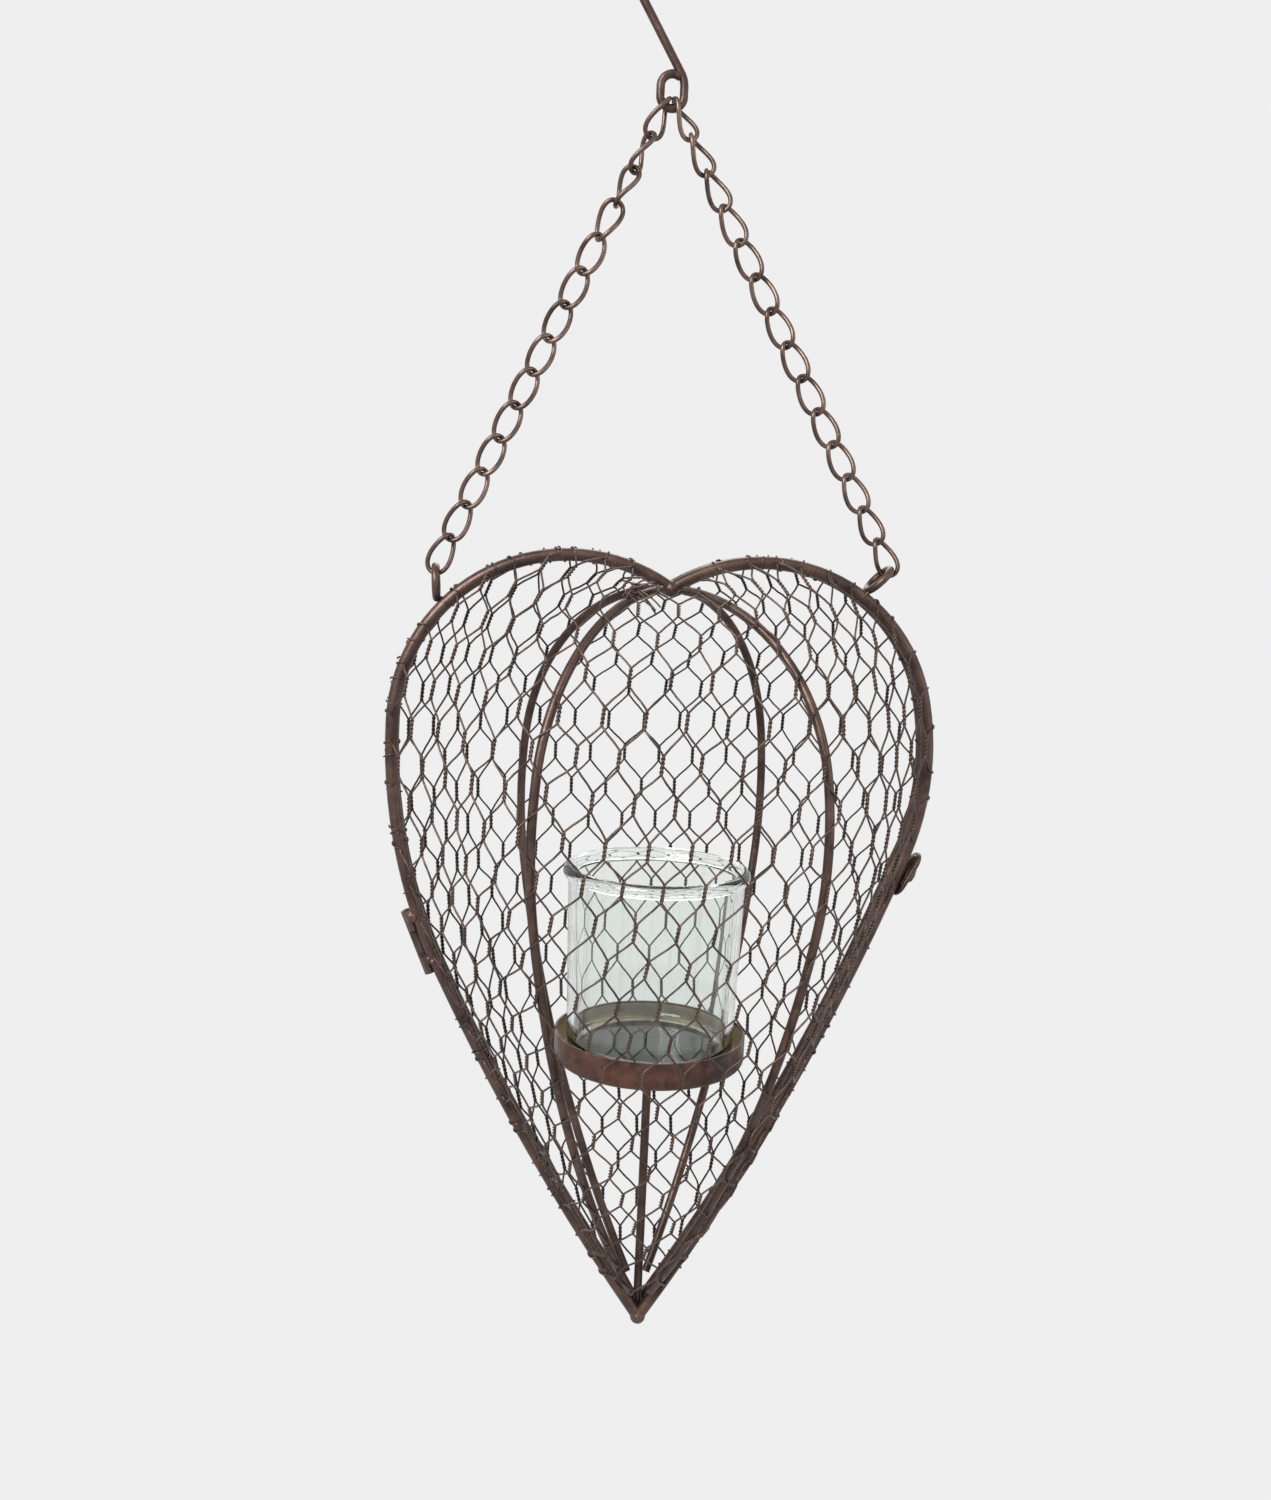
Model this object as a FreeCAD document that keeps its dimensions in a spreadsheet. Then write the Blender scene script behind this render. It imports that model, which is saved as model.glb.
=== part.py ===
import FreeCAD, Part
import math
import os

import Sketcher
from FreeCAD import Placement, Rotation, Vector

# Hanging candle holder: a puffed heart of bent rod and hexagonal netting on two chain legs and a hook.
# The origin is the seat of the hook. +Z is up, +Y is towards the back, and the door faces -Y.
# Heights of the heart are measured above its tip.

SIZES = [
    ("rod_diameter", 5.0, "outer frame rod"),
    ("rib_diameter", 3.5, "inner rib rod"),
    ("pair_gap", 1.8, "between the front and back frame rods"),
    ("weld_gap", 0.3, "between a piece and the rod that it is welded to"),
    ("cleft_height", 301.0, "centre of the frame rod at the cleft, above the tip"),
    ("cleft_rise", 33.9, "degrees by which the lobes rise out of the cleft"),
    ("lobe_radius", 67.7, "centre line of the lobes"),
    ("left_lobe_end", 88.0, "degrees of dip where the left lobe ends"),
    ("left_side_radius", 214.6, "centre line of the left side"),
    ("left_side_end", 115.3, "degrees of dip where the left side ends"),
    ("right_lobe_end", 76.9, "degrees of dip where the right lobe ends"),
    ("right_side_radius", 110.5, "centre line of the right side"),
    ("right_side_end", 110.0, "degrees of dip where the right side ends"),
    ("rib_azimuth", 48.0, "degrees between the plane of a rib and the plane of the frame"),
    ("rib_start", 7.0, "from the cleft to the upper end of a rib"),
    ("rib_shoulder_dip", 3.7, "degrees of dip where a rib leaves the cleft"),
    ("rib_shoulder_radius", 76.5, "centre line of a rib's shoulder"),
    ("rib_shoulder_end", 81.6, "degrees of dip where the shoulder ends"),
    ("rib_side_radius", 166.4, "centre line of a rib's side"),
    ("rib_side_end", 101.0, "degrees of dip where the side ends"),
    ("rib_foot_reach", 6.0, "from the axis to the lower end of a rib"),
    ("rib_foot_height", 13.5, "lower end of a rib above the tip"),
    ("bead_radius", 3.2, "weld beads at the cleft and the tip"),
    ("stem_diameter", 3.5, "stem rod"),
    ("dish_radius", 38.6, "outside of the pressed dish"),
    ("dish_rim_height", 122.7, "rim of the dish above the tip"),
    ("dish_depth", 11.5, "outside height of the dish"),
    ("dish_wall", 0.9, "sheet of the dish"),
    ("dish_edge_radius", 2.6, "rounded lower edge of the dish"),
    ("jar_rim_radius", 37.5, "widest part of the jar's rolled rim"),
    ("jar_shoulder_radius", 35.4, "outside of the jar under its rim"),
    ("jar_foot_radius", 33.6, "outside of the jar at its foot"),
    ("jar_height", 78.5, "foot to rim of the jar"),
    ("jar_wall", 2.6, "glass wall"),
    ("jar_base", 5.0, "thickness of the glass base"),
    ("jar_rim_roll", 2.7, "half the height of the rolled rim"),
    ("net_strand", 1.5, "width of a strand of netting"),
    ("net_thickness", 1.2, "thickness of a strand of netting"),
    ("net_pitch", 23.4, "between strands across a row"),
    ("net_row", 24.0, "between rows"),
    ("net_twist", 10.8, "length of the upright twisted strands"),
    ("net_clearance", 1.2, "between a rib and the netting over it"),
    ("net_foot_rise", 5.2, "further rise of the netting where the ribs draw together at the tip"),
    ("net_foot_reach", 62.0, "height above the tip below which the netting rises further"),
    ("net_edge", 1.8, "width of the netting's selvedge"),
    ("net_top", 12.0, "from the cleft to the upper edge of the netting, along a rib"),
    ("net_foot_height", 27.0, "lower edge of the netting above the tip"),
    ("knuckle_diameter", 4.6, "hinge barrel"),
    ("pin_diameter", 2.2, "hinge pin"),
    ("pin_clearance", 0.05, "radial clearance of the pin in its knuckles"),
    ("hinge_height", 160.0, "middle of the hinge above the tip"),
    ("knuckle_length", 8.8, "one hinge knuckle"),
    ("knuckle_gap", 0.3, "between two hinge knuckles"),
    ("running_gap", 0.3, "between a knuckle and the rods beside it"),
    ("hinge_bead_radius", 1.6, "weld beads between the outer knuckles and the door's rod"),
    ("catch_height", 192.0, "middle of the snap catch above the tip"),
    ("catch_wire", 2.0, "wire of the snap catch"),
    ("catch_length", 20.0, "length of the snap catch"),
    ("catch_width", 10.6, "width of the snap catch across both rods"),
    ("catch_tilt", 8.0, "degrees by which the upper end of the snap catch stands off"),
    ("ring_wire", 3.0, "wire of the two chain rings"),
    ("ring_diameter", 15.0, "outside of the two chain rings"),
    ("left_ring_reach", 89.5, "from the axis to the foot of the left ring"),
    ("right_ring_reach", 76.0, "from the axis to the foot of the right ring"),
    ("left_ring_lean", 3.0, "degrees by which the left ring leans outwards"),
    ("right_ring_lean", 44.0, "degrees by which the right ring leans outwards"),
    ("link_length", 17.6, "outside length of a chain link"),
    ("link_width", 10.0, "outside width of a chain link"),
    ("link_wire", 1.8, "wire of the chain"),
    ("link_slack", 0.15, "play between two links"),
    ("eye_slack", 0.7, "play between the eye of the hook and the first link"),
    ("link_twist", 80.0, "degrees between the wires at the two ends of a link"),
    ("first_link_turn", -55.0, "degrees by which a first link is turned on the eye"),
    ("last_link_turn", -20.0, "degrees by which a last link is turned on its ring"),
    ("hook_wire", 3.2, "wire of the hanging hook"),
    ("eye_width", 5.6, "inside width of the hook's eye"),
    ("eye_straight", 3.4, "straight sides of the hook's eye"),
    ("eye_spread", 33.0, "degrees from the bottom of the eye to each top link"),
    ("shank_lean", 31.5, "degrees by which the hook's shank leans"),
    ("shank_bend", 9.0, "centre line of the bend from the eye into the shank"),
    ("hook_bend", 28.0, "centre line of the hook's upper bend"),
    ("hook_sweep", 205.0, "degrees of the upper bend"),
]

LINK_COUNT = 14
SPAN_STEPS = 12

doc = FreeCAD.newDocument("hanging_candle_holder")
sheet = doc.addObject("Spreadsheet::Sheet", "Sizes")
for row, (alias, value, meaning) in enumerate(SIZES, start=1):
    sheet.set(f"A{row}", meaning)
    sheet.set(f"B{row}", str(value))
    sheet.setAlias(f"B{row}", alias)
doc.recompute()


def size(alias):
    return float(sheet.get(alias))


# Distances that follow from the sizes
rod_radius = size("rod_diameter") / 2
rib_radius = size("rib_diameter") / 2
frame_offset = rod_radius + size("pair_gap") / 2
weld_gap = size("weld_gap")
cleft_height = size("cleft_height")


# Plane curves that bend downwards: a dip of 0 degrees heads outwards, 90 degrees heads down


def heading(dip):
    """Unit vector along a curve, as (outwards, up)."""
    return math.cos(math.radians(dip)), -math.sin(math.radians(dip))


def outward(dip):
    """Unit vector to the outer side of a curve."""
    return math.sin(math.radians(dip)), math.cos(math.radians(dip))


def arc_span(start, dip, radius, end_dip):
    """Arc that leaves a point at one dip and bends down to another."""
    out = outward(dip)
    centre = (start[0] - radius * out[0], start[1] - radius * out[1])
    length = radius * math.radians(end_dip - dip)
    return {"centre": centre, "radius": radius, "dip": dip, "end_dip": end_dip, "length": length}


def closing_span(start, dip, end):
    """Arc that leaves a point at a dip and ends at another point."""
    chord = (end[0] - start[0], end[1] - start[1])
    along, out = heading(dip), outward(dip)
    turn = math.atan2(
        -(chord[0] * out[0] + chord[1] * out[1]), chord[0] * along[0] + chord[1] * along[1]
    )
    radius = math.hypot(*chord) / (2 * math.sin(turn))
    return arc_span(start, dip, radius, dip + math.degrees(2 * turn))


def span_point(span, share):
    """Point and dip at a share of an arc's length."""
    dip = span["dip"] + share * (span["end_dip"] - span["dip"])
    out = outward(dip)
    return (
        span["centre"][0] + span["radius"] * out[0],
        span["centre"][1] + span["radius"] * out[1],
        dip,
    )


def bent_rod(start, dip, bends, end):
    """Arcs from start to end, each bend given as a radius and the dip where it stops."""
    spans = []
    for radius, end_dip in bends:
        spans.append(arc_span(start, dip, radius, end_dip))
        start = span_point(spans[-1], 1.0)[:2]
        dip = end_dip
    spans.append(closing_span(start, dip, end))
    return spans


def curve_length(spans):
    return sum(span["length"] for span in spans)


def curve_point(spans, distance):
    """Point and dip at a distance along the arcs."""
    for span in spans[:-1]:
        if distance <= span["length"]:
            return span_point(span, distance / span["length"])
        distance -= span["length"]
    return span_point(spans[-1], distance / spans[-1]["length"])


def distance_where(spans, test):
    """Distance along the arcs at which test turns from true to false."""
    low, high = 0.0, curve_length(spans)
    for _ in range(48):
        middle = (low + high) / 2
        if test(curve_point(spans, middle)):
            low = middle
        else:
            high = middle
    return (low + high) / 2


cleft = (0.0, cleft_height)
tip = (0.0, 0.0)
side_curves = {
    -1: bent_rod(
        cleft,
        -size("cleft_rise"),
        [
            (size("lobe_radius"), size("left_lobe_end")),
            (size("left_side_radius"), size("left_side_end")),
        ],
        tip,
    ),
    1: bent_rod(
        cleft,
        -size("cleft_rise"),
        [
            (size("lobe_radius"), size("right_lobe_end")),
            (size("right_side_radius"), size("right_side_end")),
        ],
        tip,
    ),
}
rib_curve = bent_rod(
    (size("rib_start"), cleft_height - size("rib_start") * math.sin(math.radians(size("rib_shoulder_dip")))),
    size("rib_shoulder_dip"),
    [
        (size("rib_shoulder_radius"), size("rib_shoulder_end")),
        (size("rib_side_radius"), size("rib_side_end")),
    ],
    (size("rib_foot_reach"), size("rib_foot_height")),
)


# Chain rings: each stands in the groove between the two frame rods, on the outside of a shoulder


def frame_place(side, distance):
    """Point of the frame in its own plane, with its tangent and its outer normal."""
    x, z, dip = curve_point(side_curves[side], distance)
    along, out = heading(dip), outward(dip)
    return (
        Vector(side * x, 0, z),
        Vector(side * along[0], 0, along[1]),
        Vector(side * out[0], 0, out[1]),
    )


def frame_line(side, first, last):
    """Points every millimetre along the centre line of the back frame's rod."""
    steps = int(last - first) + 1
    return [frame_place(side, first + step)[0] + Vector(0, frame_offset, 0) for step in range(steps)]


def nearest(points, line):
    return min((point - other).Length for point in points for other in line)


def smallest_clear(low, high, distance_at, wanted):
    """Smallest value from low to high at which a distance that grows with it is large enough."""
    for _ in range(30):
        middle = (low + high) / 2
        if distance_at(middle) < wanted:
            low = middle
        else:
            high = middle
    return high


ring_radius = (size("ring_diameter") - size("ring_wire")) / 2


def ring_centre(side, reach, lean):
    """Centre of a ring that rests on both frame rods, and the way that it leans."""
    foot = distance_where(side_curves[side], lambda point: point[0] < reach)
    base = frame_place(side, foot)[0]
    up = Vector(side * math.sin(math.radians(lean)), 0, math.cos(math.radians(lean)))
    line = frame_line(side, foot - 20, foot + 20)
    turns = [math.radians(180 + 2 * step) for step in range(60)]

    def distance_at(lift):
        centre = base + up * lift
        circle = [
            centre + (up * math.cos(turn) - Vector(0, math.sin(turn), 0)) * ring_radius for turn in turns
        ]
        return nearest(circle, line)

    seat = rod_radius + size("ring_wire") / 2 + weld_gap
    return base + up * smallest_clear(seat, seat + 3 * ring_radius, distance_at, seat), up


ring_places = {
    -1: ring_centre(-1, size("left_ring_reach"), size("left_ring_lean")),
    1: ring_centre(1, size("right_ring_reach"), size("right_ring_lean")),
}

# Chain legs: equal legs from the tops of the rings meet at the eye of the hook

eye_radius = (size("eye_width") + size("hook_wire")) / 2
link_reach = (size("link_length") - size("link_wire")) / 2
link_pitch = size("link_length") - 2 * size("link_wire") - size("link_slack")
eye_to_link = link_reach - (size("hook_wire") + size("link_wire")) / 2 - size("eye_slack")
ring_to_link = link_reach - (size("ring_wire") + size("link_wire")) / 2 - size("link_slack")
leg_length = eye_to_link + ring_to_link + (LINK_COUNT - 1) * link_pitch


def eye_seat(side):
    """Place on the eye's wire where a leg hangs, from the centre of the eye's lower bend."""
    spread = math.radians(size("eye_spread"))
    return Vector(side * eye_radius * math.sin(spread), 0, -eye_radius * math.cos(spread))


ring_tops = {side: centre + up * ring_radius for side, (centre, up) in ring_places.items()}
left_anchor = ring_tops[-1] - eye_seat(-1)
right_anchor = ring_tops[1] - eye_seat(1)
anchor_span = right_anchor - left_anchor
anchor_middle = (left_anchor + right_anchor) * 0.5
rise = math.sqrt(leg_length**2 - (anchor_span.Length / 2) ** 2)
eye_centre = anchor_middle + Vector(-anchor_span.z, 0, anchor_span.x).normalize() * rise

# Hook: the shank leans away from the eye and the upper bend brings its seat over the heart's axis

lean = math.radians(size("shank_lean"))
shank_foot = Vector(eye_radius, 0, size("eye_straight"))
shank_start = shank_foot + Vector(
    -size("shank_bend") * (1 - math.cos(lean)), 0, size("shank_bend") * math.sin(lean)
)
shank_length = (shank_start.x + eye_centre.x + math.cos(lean) * size("hook_bend")) / math.sin(lean)
shank_end = shank_start + Vector(-math.sin(lean), 0, math.cos(lean)) * shank_length
bend_centre = shank_end + Vector(math.cos(lean), 0, math.sin(lean)) * size("hook_bend")
seat_above_eye = bend_centre + Vector(0, 0, size("hook_bend") - size("hook_wire") / 2)

# The seat of the hook is the origin
drop = eye_centre.z + seat_above_eye.z
whole = Placement(Vector(0, 0, -drop), Rotation())


# Helpers that make the solids


def body_plane(body, role):
    return next(feature for feature in body.Origin.OriginFeatures if feature.Role == role)


def add_sketch(body, name, role):
    sketch = body.newObject("Sketcher::SketchObject", name)
    sketch.AttachmentSupport = [(body_plane(body, role), "")]
    sketch.MapMode = "FlatFace"
    return sketch


def arc_through(first, middle, last):
    return Part.Arc(Vector(*first, 0), Vector(*middle, 0), Vector(*last, 0))


def span_arcs(spans, side=1):
    """Sketch geometry of a chain of arcs, mirrored for the left side."""
    arcs = []
    for span in spans:
        points = [span_point(span, share)[:2] for share in (0.0, 0.5, 1.0)]
        arcs.append(arc_through(*[(side * x, z) for x, z in points]))
    return arcs


def add_pipe(body, name, geometry, start, diameter):
    """Round wire along a path in the body's XZ plane, with its diameter bound to a size."""
    path = add_sketch(body, name + "_path", "XZ_Plane")
    for piece in geometry:
        path.addGeometry(piece)
    doc.recompute()
    first = path.Shape.Edges[0] if len(path.Shape.Edges) == 1 else path.getSubObject("Edge1")
    begin = first.valueAt(first.FirstParameter)
    local = path.getGlobalPlacement().multVec(Vector(*start, 0))
    reversed_edge = begin.distanceToPoint(local) > first.Length / 2
    profile = body.newObject("Sketcher::SketchObject", name + "_profile")
    profile.AttachmentSupport = [(path, "Edge1")]
    profile.MapMode = "NormalToEdge"
    profile.MapPathParameter = 1.0 if reversed_edge else 0.0
    profile.addGeometry(Part.Circle(Vector(0, 0, 0), Vector(0, 0, 1), size(diameter) / 2))
    profile.addConstraint(Sketcher.Constraint("Coincident", 0, 3, -1, 1))
    index = profile.addConstraint(Sketcher.Constraint("Diameter", 0, size(diameter)))
    profile.setExpression(f"Constraints[{index}]", f"Sizes.{diameter}")
    pipe = body.newObject("PartDesign::AdditivePipe", name)
    pipe.Profile = profile
    pipe.Spine = (path, [f"Edge{number + 1}" for number in range(len(geometry))])
    doc.recompute()
    return pipe


def add_bead(body, name, place, radius):
    """Ball of weld in a body's own frame, with its poles at the front and the back."""
    bead = body.newObject("PartDesign::AdditiveSphere", name)
    bead.setExpression("Radius", f"Sizes.{radius}")
    turn = Rotation(Vector(0, 0, -1), Vector(-1, 0, 0), Vector(0, 1, 0), "ZXY")
    bead.AttachmentOffset = Placement(place, turn)
    bead.AttachmentSupport = [(body_plane(body, "XY_Plane"), "")]
    bead.MapMode = "FlatFace"
    doc.recompute()
    return bead


pieces = []


def keep(piece, label):
    """Give a finished piece its name and put it on the list of nodes."""
    piece.Label = label
    pieces.append(piece)
    return piece


def new_body(label, place=Placement()):
    body = doc.addObject("PartDesign::Body", label)
    body.Placement = whole * place
    return keep(body, label)


# Heart frames and ribs


def make_frame(label, facing):
    """Heart of rod: two sides that meet in weld beads at the cleft and the tip."""
    body = new_body(label, Placement(Vector(0, facing * frame_offset, 0), Rotation()))
    for side, name in ((-1, "left_side"), (1, "right_side")):
        add_pipe(body, name, span_arcs(side_curves[side], side), (0, cleft_height), "rod_diameter")
    add_bead(body, "cleft_bead", Vector(0, 0, cleft_height), "bead_radius")
    add_bead(body, "tip_bead", Vector(0, 0, 0), "bead_radius")
    return body


def make_rib(label, side, facing):
    """Bowed rod in an upright plane turned by the ribs' azimuth."""
    turn = facing * size("rib_azimuth")
    if side < 0:
        turn = 180 - turn
    place = Placement(Vector(0, facing * frame_offset, 0), Rotation(Vector(0, 0, 1), turn))
    body = new_body(label, place)
    add_pipe(body, "rib", span_arcs(rib_curve), span_point(rib_curve[0], 0)[:2], "rib_diameter")
    return body


# Netting: a wall with hexagonal gaps, laid over the ribs from the outside

net_rise = rib_radius + size("net_clearance") + size("net_thickness") / 2
edge_offset = frame_offset + rod_radius + size("running_gap") + size("net_thickness") / 2
rib_length = curve_length(rib_curve)
level_start = distance_where(rib_curve, lambda point: point[2] < 90)
level_height = curve_point(rib_curve, level_start)[1]
level_on_side = {
    side: distance_where(spans, lambda point: point[1] > level_height or point[2] < 60)
    for side, spans in side_curves.items()
}
rib_direction = (
    math.cos(math.radians(size("rib_azimuth"))),
    math.sin(math.radians(size("rib_azimuth"))),
)


def side_support(side, distance, height):
    """Point of the frame that lies beside a place on the rib."""
    if distance < level_start:
        along = distance / level_start * level_on_side[side]
    else:
        spans = side_curves[side]
        along = distance_where(spans, lambda point: point[1] > height or point[2] < 60)
    x, z, _ = curve_point(side_curves[side], along)
    return Vector(side * x, edge_offset, z)


def rib_support(side, distance):
    """Point just outside a rib."""
    reach, height, dip = curve_point(rib_curve, distance)
    out = outward(dip)
    nearness = max(0.0, 1 - height / size("net_foot_reach"))
    lift = net_rise + size("net_foot_rise") * nearness
    reach += lift * out[0]
    return Vector(
        side * reach * rib_direction[0],
        frame_offset + reach * rib_direction[1],
        height + lift * out[1],
    )


def section(distance):
    """Smooth curve from the left side of the frame over both ribs to the right side, at one level."""
    height = curve_point(rib_curve, distance)[1]
    supports = [
        side_support(-1, distance, height),
        rib_support(-1, distance),
        rib_support(1, distance),
        side_support(1, distance, height),
    ]
    chords = [supports[k + 1] - supports[k] for k in range(3)]
    tension = 0.35
    tangents = [
        chords[0],
        (supports[2] - supports[0]) * tension,
        (supports[3] - supports[1]) * tension,
        chords[2],
    ]
    points = []
    for k in range(3):
        for step in range(SPAN_STEPS):
            t = step / SPAN_STEPS
            points.append(
                supports[k] * (2 * t**3 - 3 * t**2 + 1)
                + tangents[k] * (t**3 - 2 * t**2 + t)
                + supports[k + 1] * (3 * t**2 - 2 * t**3)
                + tangents[k + 1] * (t**3 - t**2)
            )
    points.append(supports[3])
    across = [0.0]
    for first, second in zip(points, points[1:]):
        across.append(across[-1] + (second - first).Length)
    middle = (across[len(points) // 2] + across[(len(points) - 1) // 2]) / 2
    return points, [value - middle for value in across]


sections = {}


def net_point(across, distance):
    """Point of the netting's middle surface, by its distance across and down."""
    key = round(distance, 5)
    if key not in sections:
        sections[key] = section(distance)
    points, places = sections[key]
    k = 0
    while k < len(places) - 2 and places[k + 1] < across:
        k += 1
    share = (across - places[k]) / (places[k + 1] - places[k])
    return points[k] + (points[k + 1] - points[k]) * share


def net_normal(across, distance):
    """Outward normal of the netting's surface."""
    step = 2.0
    over = net_point(across + step, distance) - net_point(across - step, distance)
    down = net_point(across, distance + step) - net_point(across, distance - step)
    return over.cross(down).normalize()


def flat_polygon(points):
    corners = [Vector(x, y, 0) for x, y in points]
    return Part.Face(Part.makePolygon(corners + corners[:1]))


def between(first, last):
    """Points about 5 mm apart between two points on one level."""
    steps = max(2, round(abs(last[0] - first[0]) / 5))
    width = last[0] - first[0]
    return [(first[0] + width * step / steps, first[1]) for step in range(1, steps)]


def net_outline(inset):
    """Outline of the netting laid flat, as (across, down)."""
    top = size("net_top") + inset
    foot = distance_where(rib_curve, lambda point: point[1] > size("net_foot_height")) - inset
    rows = max(8, round((foot - top) / 7))
    levels = [top + (foot - top) * row / rows for row in range(rows + 1)]
    left = [(section(level)[1][0] + inset, level) for level in levels]
    right = [(section(level)[1][-1] - inset, level) for level in levels]
    return left + between(left[-1], right[-1]) + right[::-1] + between(right[0], left[0])


def net_hexagons(face):
    """Hexagonal gaps of the netting laid flat, cut off at its selvedge."""
    pitch, row_step, twist = size("net_pitch"), size("net_row"), size("net_twist")
    half = size("net_strand") / 2
    box = face.BoundBox
    gaps = []
    rows = int(box.YLength / row_step) + 2
    columns = int(box.XLength / pitch / 2) + 2
    for row in range(rows):
        shift = pitch / 2 if row % 2 else 0.0
        for column in range(-columns, columns + 1):
            x, y = column * pitch + shift, box.YMin + row * row_step
            peak = row_step - twist / 2
            hexagon = flat_polygon(
                [
                    (x + pitch / 2, y + twist / 2),
                    (x, y + peak),
                    (x - pitch / 2, y + twist / 2),
                    (x - pitch / 2, y - twist / 2),
                    (x, y - peak),
                    (x + pitch / 2, y - twist / 2),
                ]
            ).makeOffset2D(-half)
            for gap in hexagon.common(face).Faces:
                if gap.Area > 0.08 * hexagon.Area:
                    gaps.append(gap)
    return gaps


def make_netting(label, facing):
    """Openwork wall: the flat pattern is cut into triangles and laid over the ribs."""
    outline = net_outline(0.0)
    inner = flat_polygon(net_outline(size("net_edge")))
    gaps = net_hexagons(inner)
    sheet_face = flat_polygon(outline).cut(gaps)
    flat_points, triangles = sheet_face.tessellate(0.5)
    half = size("net_thickness") / 2
    count = len(flat_points)
    corners = []
    for sign in (half, -half):
        for point in flat_points:
            place = net_point(point.x, point.y) + net_normal(point.x, point.y) * sign
            corners.append(Vector(place.x, facing * place.y, place.z))
    facets = [tuple(triangle) for triangle in triangles]
    facets += [(c + count, b + count, a + count) for a, b, c in triangles]
    edges = {}
    for a, b, c in triangles:
        for first, second in ((a, b), (b, c), (c, a)):
            if edges.pop((second, first), None) is None:
                edges[(first, second)] = True
    for first, second in edges:
        facets.append((second, first, first + count))
        facets.append((second, first + count, second + count))
    shell = Part.Shape()
    shell.makeShapeFromMesh((corners, facets), 0.01)
    solid = Part.Solid(shell)
    if solid.Volume < 0:
        solid.reverse()
    netting = doc.addObject("Part::Feature", label)
    netting.Shape = solid
    netting.Placement = whole
    print(label, "gaps", len(gaps), "facets", len(facets))
    return keep(netting, label)


# Stem, dish and jar

floor_height = size("dish_rim_height") - size("dish_depth")


def stem_foot():
    """Lowest height at which the end of the stem is clear of the frame rods and their bead."""
    radius = size("stem_diameter") / 2
    legs = []
    for side, spans in side_curves.items():
        legs += frame_line(side, curve_length(spans) - 40, curve_length(spans))
    bead = Vector(0, frame_offset, 0)

    def distance_at(height):
        turns = [math.radians(15 * step) for step in range(24)]
        rim = [Vector(radius * math.cos(turn), radius * math.sin(turn), height) for turn in turns]
        return min(nearest(rim, legs) - rod_radius, nearest(rim, [bead]) - size("bead_radius"))

    return smallest_clear(0.0, 40.0, distance_at, weld_gap)


def make_stem():
    """Straight rod from just above the tip to the underside of the dish."""
    foot = stem_foot()
    stem = doc.addObject("Part::Cylinder", "stem")
    stem.setExpression("Radius", "Sizes.stem_diameter / 2")
    stem.setExpression("Height", f"Sizes.dish_rim_height - Sizes.dish_depth - {foot}")
    stem.Placement = whole * Placement(Vector(0, 0, foot), Rotation())
    return keep(stem, "stem")


def circle_sketch(body, name, expression, radius, level=None):
    """Circle about the body's axis, with its radius bound to the sizes."""
    sketch = add_sketch(body, name, "XY_Plane")
    if level:
        sketch.setExpression("AttachmentOffset.Base.z", level)
    sketch.addGeometry(Part.Circle(Vector(0, 0, 0), Vector(0, 0, 1), radius))
    sketch.addConstraint(Sketcher.Constraint("Coincident", 0, 3, -1, 1))
    index = sketch.addConstraint(Sketcher.Constraint("Radius", 0, radius))
    sketch.setExpression(f"Constraints[{index}]", expression)
    return sketch


def lowest_edges(shape):
    """Names of the round edges at the foot of a shape."""
    foot = shape.BoundBox.ZMin
    return [
        f"Edge{number}"
        for number, edge in enumerate(shape.Edges, start=1)
        if edge.BoundBox.ZMax < foot + 0.01 and edge.BoundBox.ZLength < 0.01
    ]


def make_dish():
    """Shallow cup pressed from sheet, with a rounded lower edge inside and out."""
    body = new_body("candle_dish", Placement(Vector(0, 0, floor_height), Rotation()))
    disc = circle_sketch(body, "disc", "Sizes.dish_radius", size("dish_radius"))
    blank = body.newObject("PartDesign::Pad", "blank")
    blank.Profile = disc
    blank.setExpression("Length", "Sizes.dish_depth")
    doc.recompute()
    edge = body.newObject("PartDesign::Fillet", "outer_edge")
    edge.Base = (blank, lowest_edges(blank.Shape))
    edge.setExpression("Radius", "Sizes.dish_edge_radius")
    doc.recompute()
    inner_radius = size("dish_radius") - size("dish_wall")
    hollow = body.newObject("PartDesign::Groove", "hollow")
    profile = add_sketch(body, "hollow_profile", "XZ_Plane")
    bend = size("dish_edge_radius") - size("dish_wall")
    wall, top = size("dish_wall"), size("dish_depth") + 1
    slant = bend * (1 - math.sqrt(0.5))
    ring_line = inner_radius - bend - 2.4
    corners = [
        (0, wall + 0.35),
        (ring_line - 0.6, wall + 0.35),
        (ring_line, wall),
        (inner_radius - bend, wall),
    ]
    for first, second in zip(corners, corners[1:]):
        profile.addGeometry(Part.LineSegment(Vector(*first, 0), Vector(*second, 0)))
    profile.addGeometry(
        arc_through(
            corners[-1], (inner_radius - slant, wall + slant), (inner_radius, wall + bend)
        )
    )
    for first, second in (
        ((inner_radius, wall + bend), (inner_radius, top)),
        ((inner_radius, top), (0, top)),
        ((0, top), corners[0]),
    ):
        profile.addGeometry(Part.LineSegment(Vector(*first, 0), Vector(*second, 0)))
    hollow.Profile = profile
    hollow.ReferenceAxis = (body_plane(body, "Z_Axis"), [""])
    hollow.Angle = 360
    doc.recompute()
    return body


jar_floor = floor_height + size("dish_wall") + 0.35


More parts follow.
